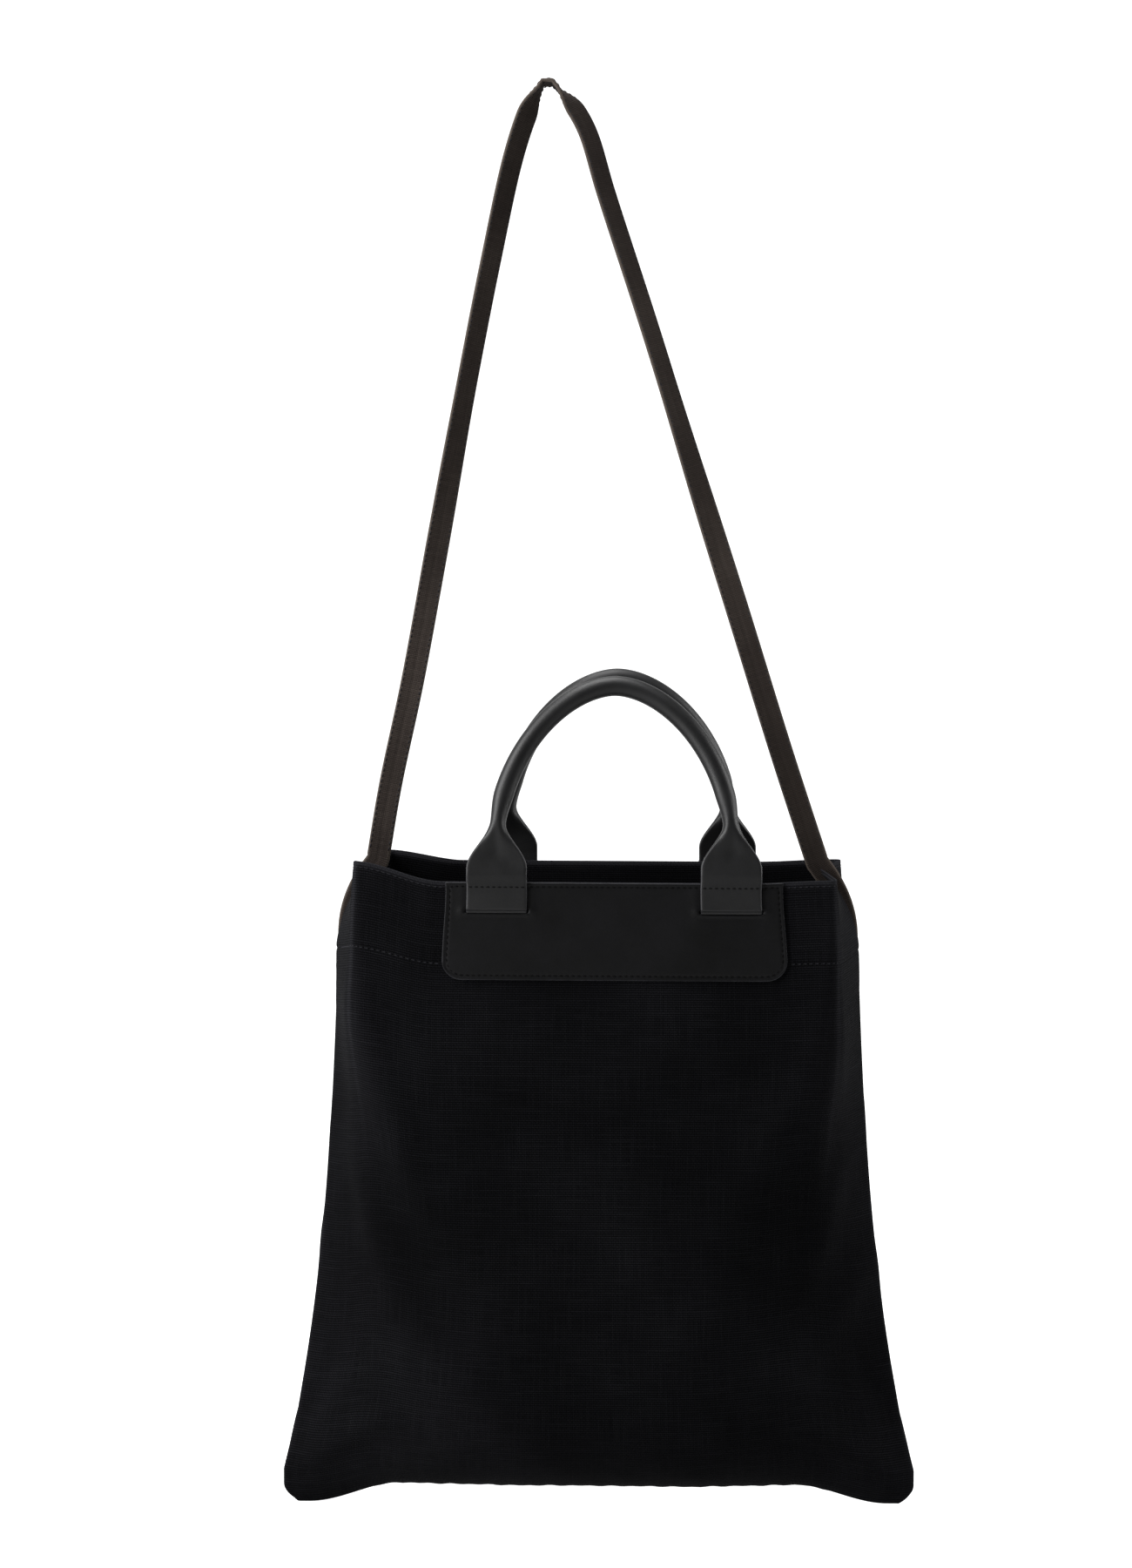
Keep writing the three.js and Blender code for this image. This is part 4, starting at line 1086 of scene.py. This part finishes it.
def stitches(name, starts, ends, outward_at, radius, material):
    """Capsules from starts to ends (n, 3): a bow of rings, its radius closing at both ends."""
    t = np.linspace(0.0, 1.0, 6)
    bow = 0.55 * np.sin(np.pi * t) - 0.35
    girth_at = radius * np.sqrt(1.0 - np.abs(2 * t - 1) ** 4 * 0.96)
    angle = np.linspace(0.0, 2 * np.pi, 6, endpoint=False)
    ahead = unit(ends - starts)
    up = unit(outward_at - ahead * np.sum(outward_at * ahead, -1, keepdims=True))
    across = np.cross(ahead, up)
    middle = starts[:, None] + (ends - starts)[:, None] * t[:, None]
    middle = middle + up[:, None] * (bow * radius * 1.6)[:, None]
    ring = across[:, None, None] * np.cos(angle)[:, None] + up[:, None, None] * np.sin(angle)[:, None]
    points = middle[:, :, None] + ring * girth_at[:, None, None]
    n, r, k = points.shape[:3]
    base = np.arange(n)[:, None, None] * (r * k)
    i, j = np.meshgrid(np.arange(r - 1), np.arange(k), indexing="ij")
    j2 = (j + 1) % k
    quads = np.stack([i * k + j, i * k + j2, (i + 1) * k + j2, (i + 1) * k + j], -1).reshape(1, -1, 4) + base
    cap = np.array([[0, 3, 2, 1], [0, 5, 4, 3]])
    caps = np.concatenate([cap, (r - 1) * k + cap[:, ::-1]])[None] + base
    faces = np.concatenate([quads.reshape(-1, 4), caps.reshape(-1, 4)])
    corner = faces % (r * k)
    uvs = np.stack([corner // k * (STITCH_LENGTH / (r - 1)), corner % k * radius], -1)
    piece = mesh_object(name, points.reshape(-1, 3), faces, uvs.reshape(-1, 2), material)
    face_outwards(piece)
    print(f"{name}: {n} stitches, {len(faces)} faces")
    return piece


def sewn_line(side, lay, line, out):
    """Starts, ends and outward directions of the stitches along a line of (x, depth) points."""
    line = np.asarray(line, float)
    far = lengths(line)
    count = max(int(far[-1] / STITCH_PITCH), 1)
    first = (np.arange(count) + 0.5) * far[-1] / count - STITCH_LENGTH / 2
    places = [
        np.stack([np.interp(at, far, line[:, 0]), np.interp(at, far, line[:, 1])], -1)
        for at in (first, first + STITCH_LENGTH)
    ]
    starts, ends = (lay(side, girth(side, p[:, 0]), below(p[:, 1]), out) for p in places)
    middle = (places[0] + places[1]) / 2
    return starts, ends, normals(side, girth(side, middle[:, 0]), below(middle[:, 1]))


def level_row(side, middle, half, depth, out):
    """Stitches level along the leather, from half a row left of its middle to half a row right."""
    return sewn_line(side, plain, [(middle - half, depth), (middle + half, depth)], out)


def sew(name, rows, radius, material, nodes):
    """Several rows of stitches on the bag as one piece."""
    starts, ends, outs = (np.concatenate(part) for part in zip(*rows))
    piece = stitches(name, starts, ends, outs, radius, material)
    place(piece, "bag", "thread", nodes)


# %% Rows on the bag
SEWN_GIRTH = 0.92  # the rows round the mouth end at this share of the half girth
RIM_ROW = 3.0
HEM_ROW = HEM_DEPTH + 0.4
LEATHER_ROW = 2.2
SLIT_ROW = 19.2
PATCH_INSET = 2.6
TAB_CLEAR = 1.0  # the patch's rows stop this far from a handle end
PATCH_CLEAR = 1.5  # and the canvas rows this far from the patch

quarter = np.linspace(0.0, np.pi / 2, 8)
turn_x = PATCH_HALF - PATCH_RADIUS + (PATCH_RADIUS - PATCH_INSET) * np.cos(quarter)
turn_depth = PATCH_HEIGHT - PATCH_RADIUS + (PATCH_RADIUS - PATCH_INSET) * np.sin(quarter)
top_x = (HANDLE_HALF_SPAN + TAB_HALF + TAB_CLEAR, PATCH_HALF - PATCH_INSET)
half_outline = np.concatenate(
    [[(x, LEATHER_ROW) for x in top_x], np.stack([turn_x, turn_depth], -1)]
)
outline = np.concatenate([half_outline * [-1, 1], half_outline[::-1]]) + [FITTING_X, 0.0]
patch_edges = FITTING_X - PATCH_HALF - PATCH_CLEAR, FITTING_X + PATCH_HALF + PATCH_CLEAR
for name, side in SIDES:
    ends = [hand * SEWN_GIRTH / abs(girth(side, hand)) for hand in (-1.0, 1.0)]
    rows = []
    for depth in (HEM_ROW, RIM_ROW):
        for run in ((ends[0], patch_edges[0]), (patch_edges[1], ends[1])):
            line = np.stack([np.linspace(*run, 60), np.full(60, depth)], -1)
            rows.append(sewn_line(side, cloth, line, 0.12))
    nodes = [f"{name}_{row}_thread_{hand}" for row in ("hem", "rim") for hand in ("left", "right")]
    sew(f"{name}_canvas_stitches", rows, 0.34, CANVAS_THREAD, nodes)

    between = HANDLE_HALF_SPAN - TAB_HALF - TAB_CLEAR
    rows = [
        sewn_line(side, plain, outline, PATCH_OUT - 0.3),
        level_row(side, FITTING_X, between, LEATHER_ROW, PATCH_OUT - 0.3),
    ]
    rows += [
        level_row(side, at, TAB_HALF - TAB_CLEAR, SLIT_ROW, PATCH_OUT - 0.05) for _, at in HANDLE_ENDS
    ]
    nodes = [f"{name}_border_thread", f"{name}_top_thread"]
    nodes += [f"{name}_slit_thread_left", f"{name}_slit_thread_right"]
    sew(f"{name}_patch_stitches", rows, 0.38, THREAD_BLACK, nodes)

    tab_out = TAB_BACK + TAB_THICK - 0.1
    rows = [level_row(side, at, TAB_HALF - 0.8, LEATHER_ROW, tab_out) for _, at in HANDLE_ENDS]
    nodes = [f"{name}_tab_thread_left", f"{name}_tab_thread_right"]
    sew(f"{name}_tab_stitches", rows, 0.4, THREAD_BLACK, nodes)

# %% [markdown]
# ## Stitching on the strap
# Two rows run along the strap, close to its folded edges, and show on both of its faces. They
# ride with the strap above the mouth, so they stop where the strap starts to bend.

# %% Strap stitches
STRAP_ROW = STRAP_HALF - 1.4
STRAP_ROW_OUT = 1.27
STRAP_ROW_LOWEST = 403.0

on_strap = strap_line[:, 1] > STRAP_ROW_LOWEST
far, middle, wide, thin = (v[on_strap] for v in (strap_far, strap_middle, strap_wide, strap_thin))
count = int((far[-1] - far[0]) / STITCH_PITCH)
first = far[0] + (np.arange(count) + 0.2) * STITCH_PITCH


def on_line(values, at):
    """Values kept along the strap, read at distances along it."""
    return np.stack([np.interp(at, far, values[:, k]) for k in range(3)], -1)


rows = []
for edge in (-1, 1):
    for face in (-1, 1):
        ends = [
            on_line(middle, at)
            + on_line(wide, at) * edge * STRAP_ROW
            + on_line(thin, at) * face * STRAP_ROW_OUT
            for at in (first, first + STITCH_LENGTH)
        ]
        rows.append((*ends, on_line(thin, first) * face))
starts, ends, outs = (np.concatenate(part) for part in zip(*rows))
strap_thread = stitches("strap_stitches", starts, ends, outs, 0.3, CANVAS_THREAD)
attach(strap_thread, "strap")
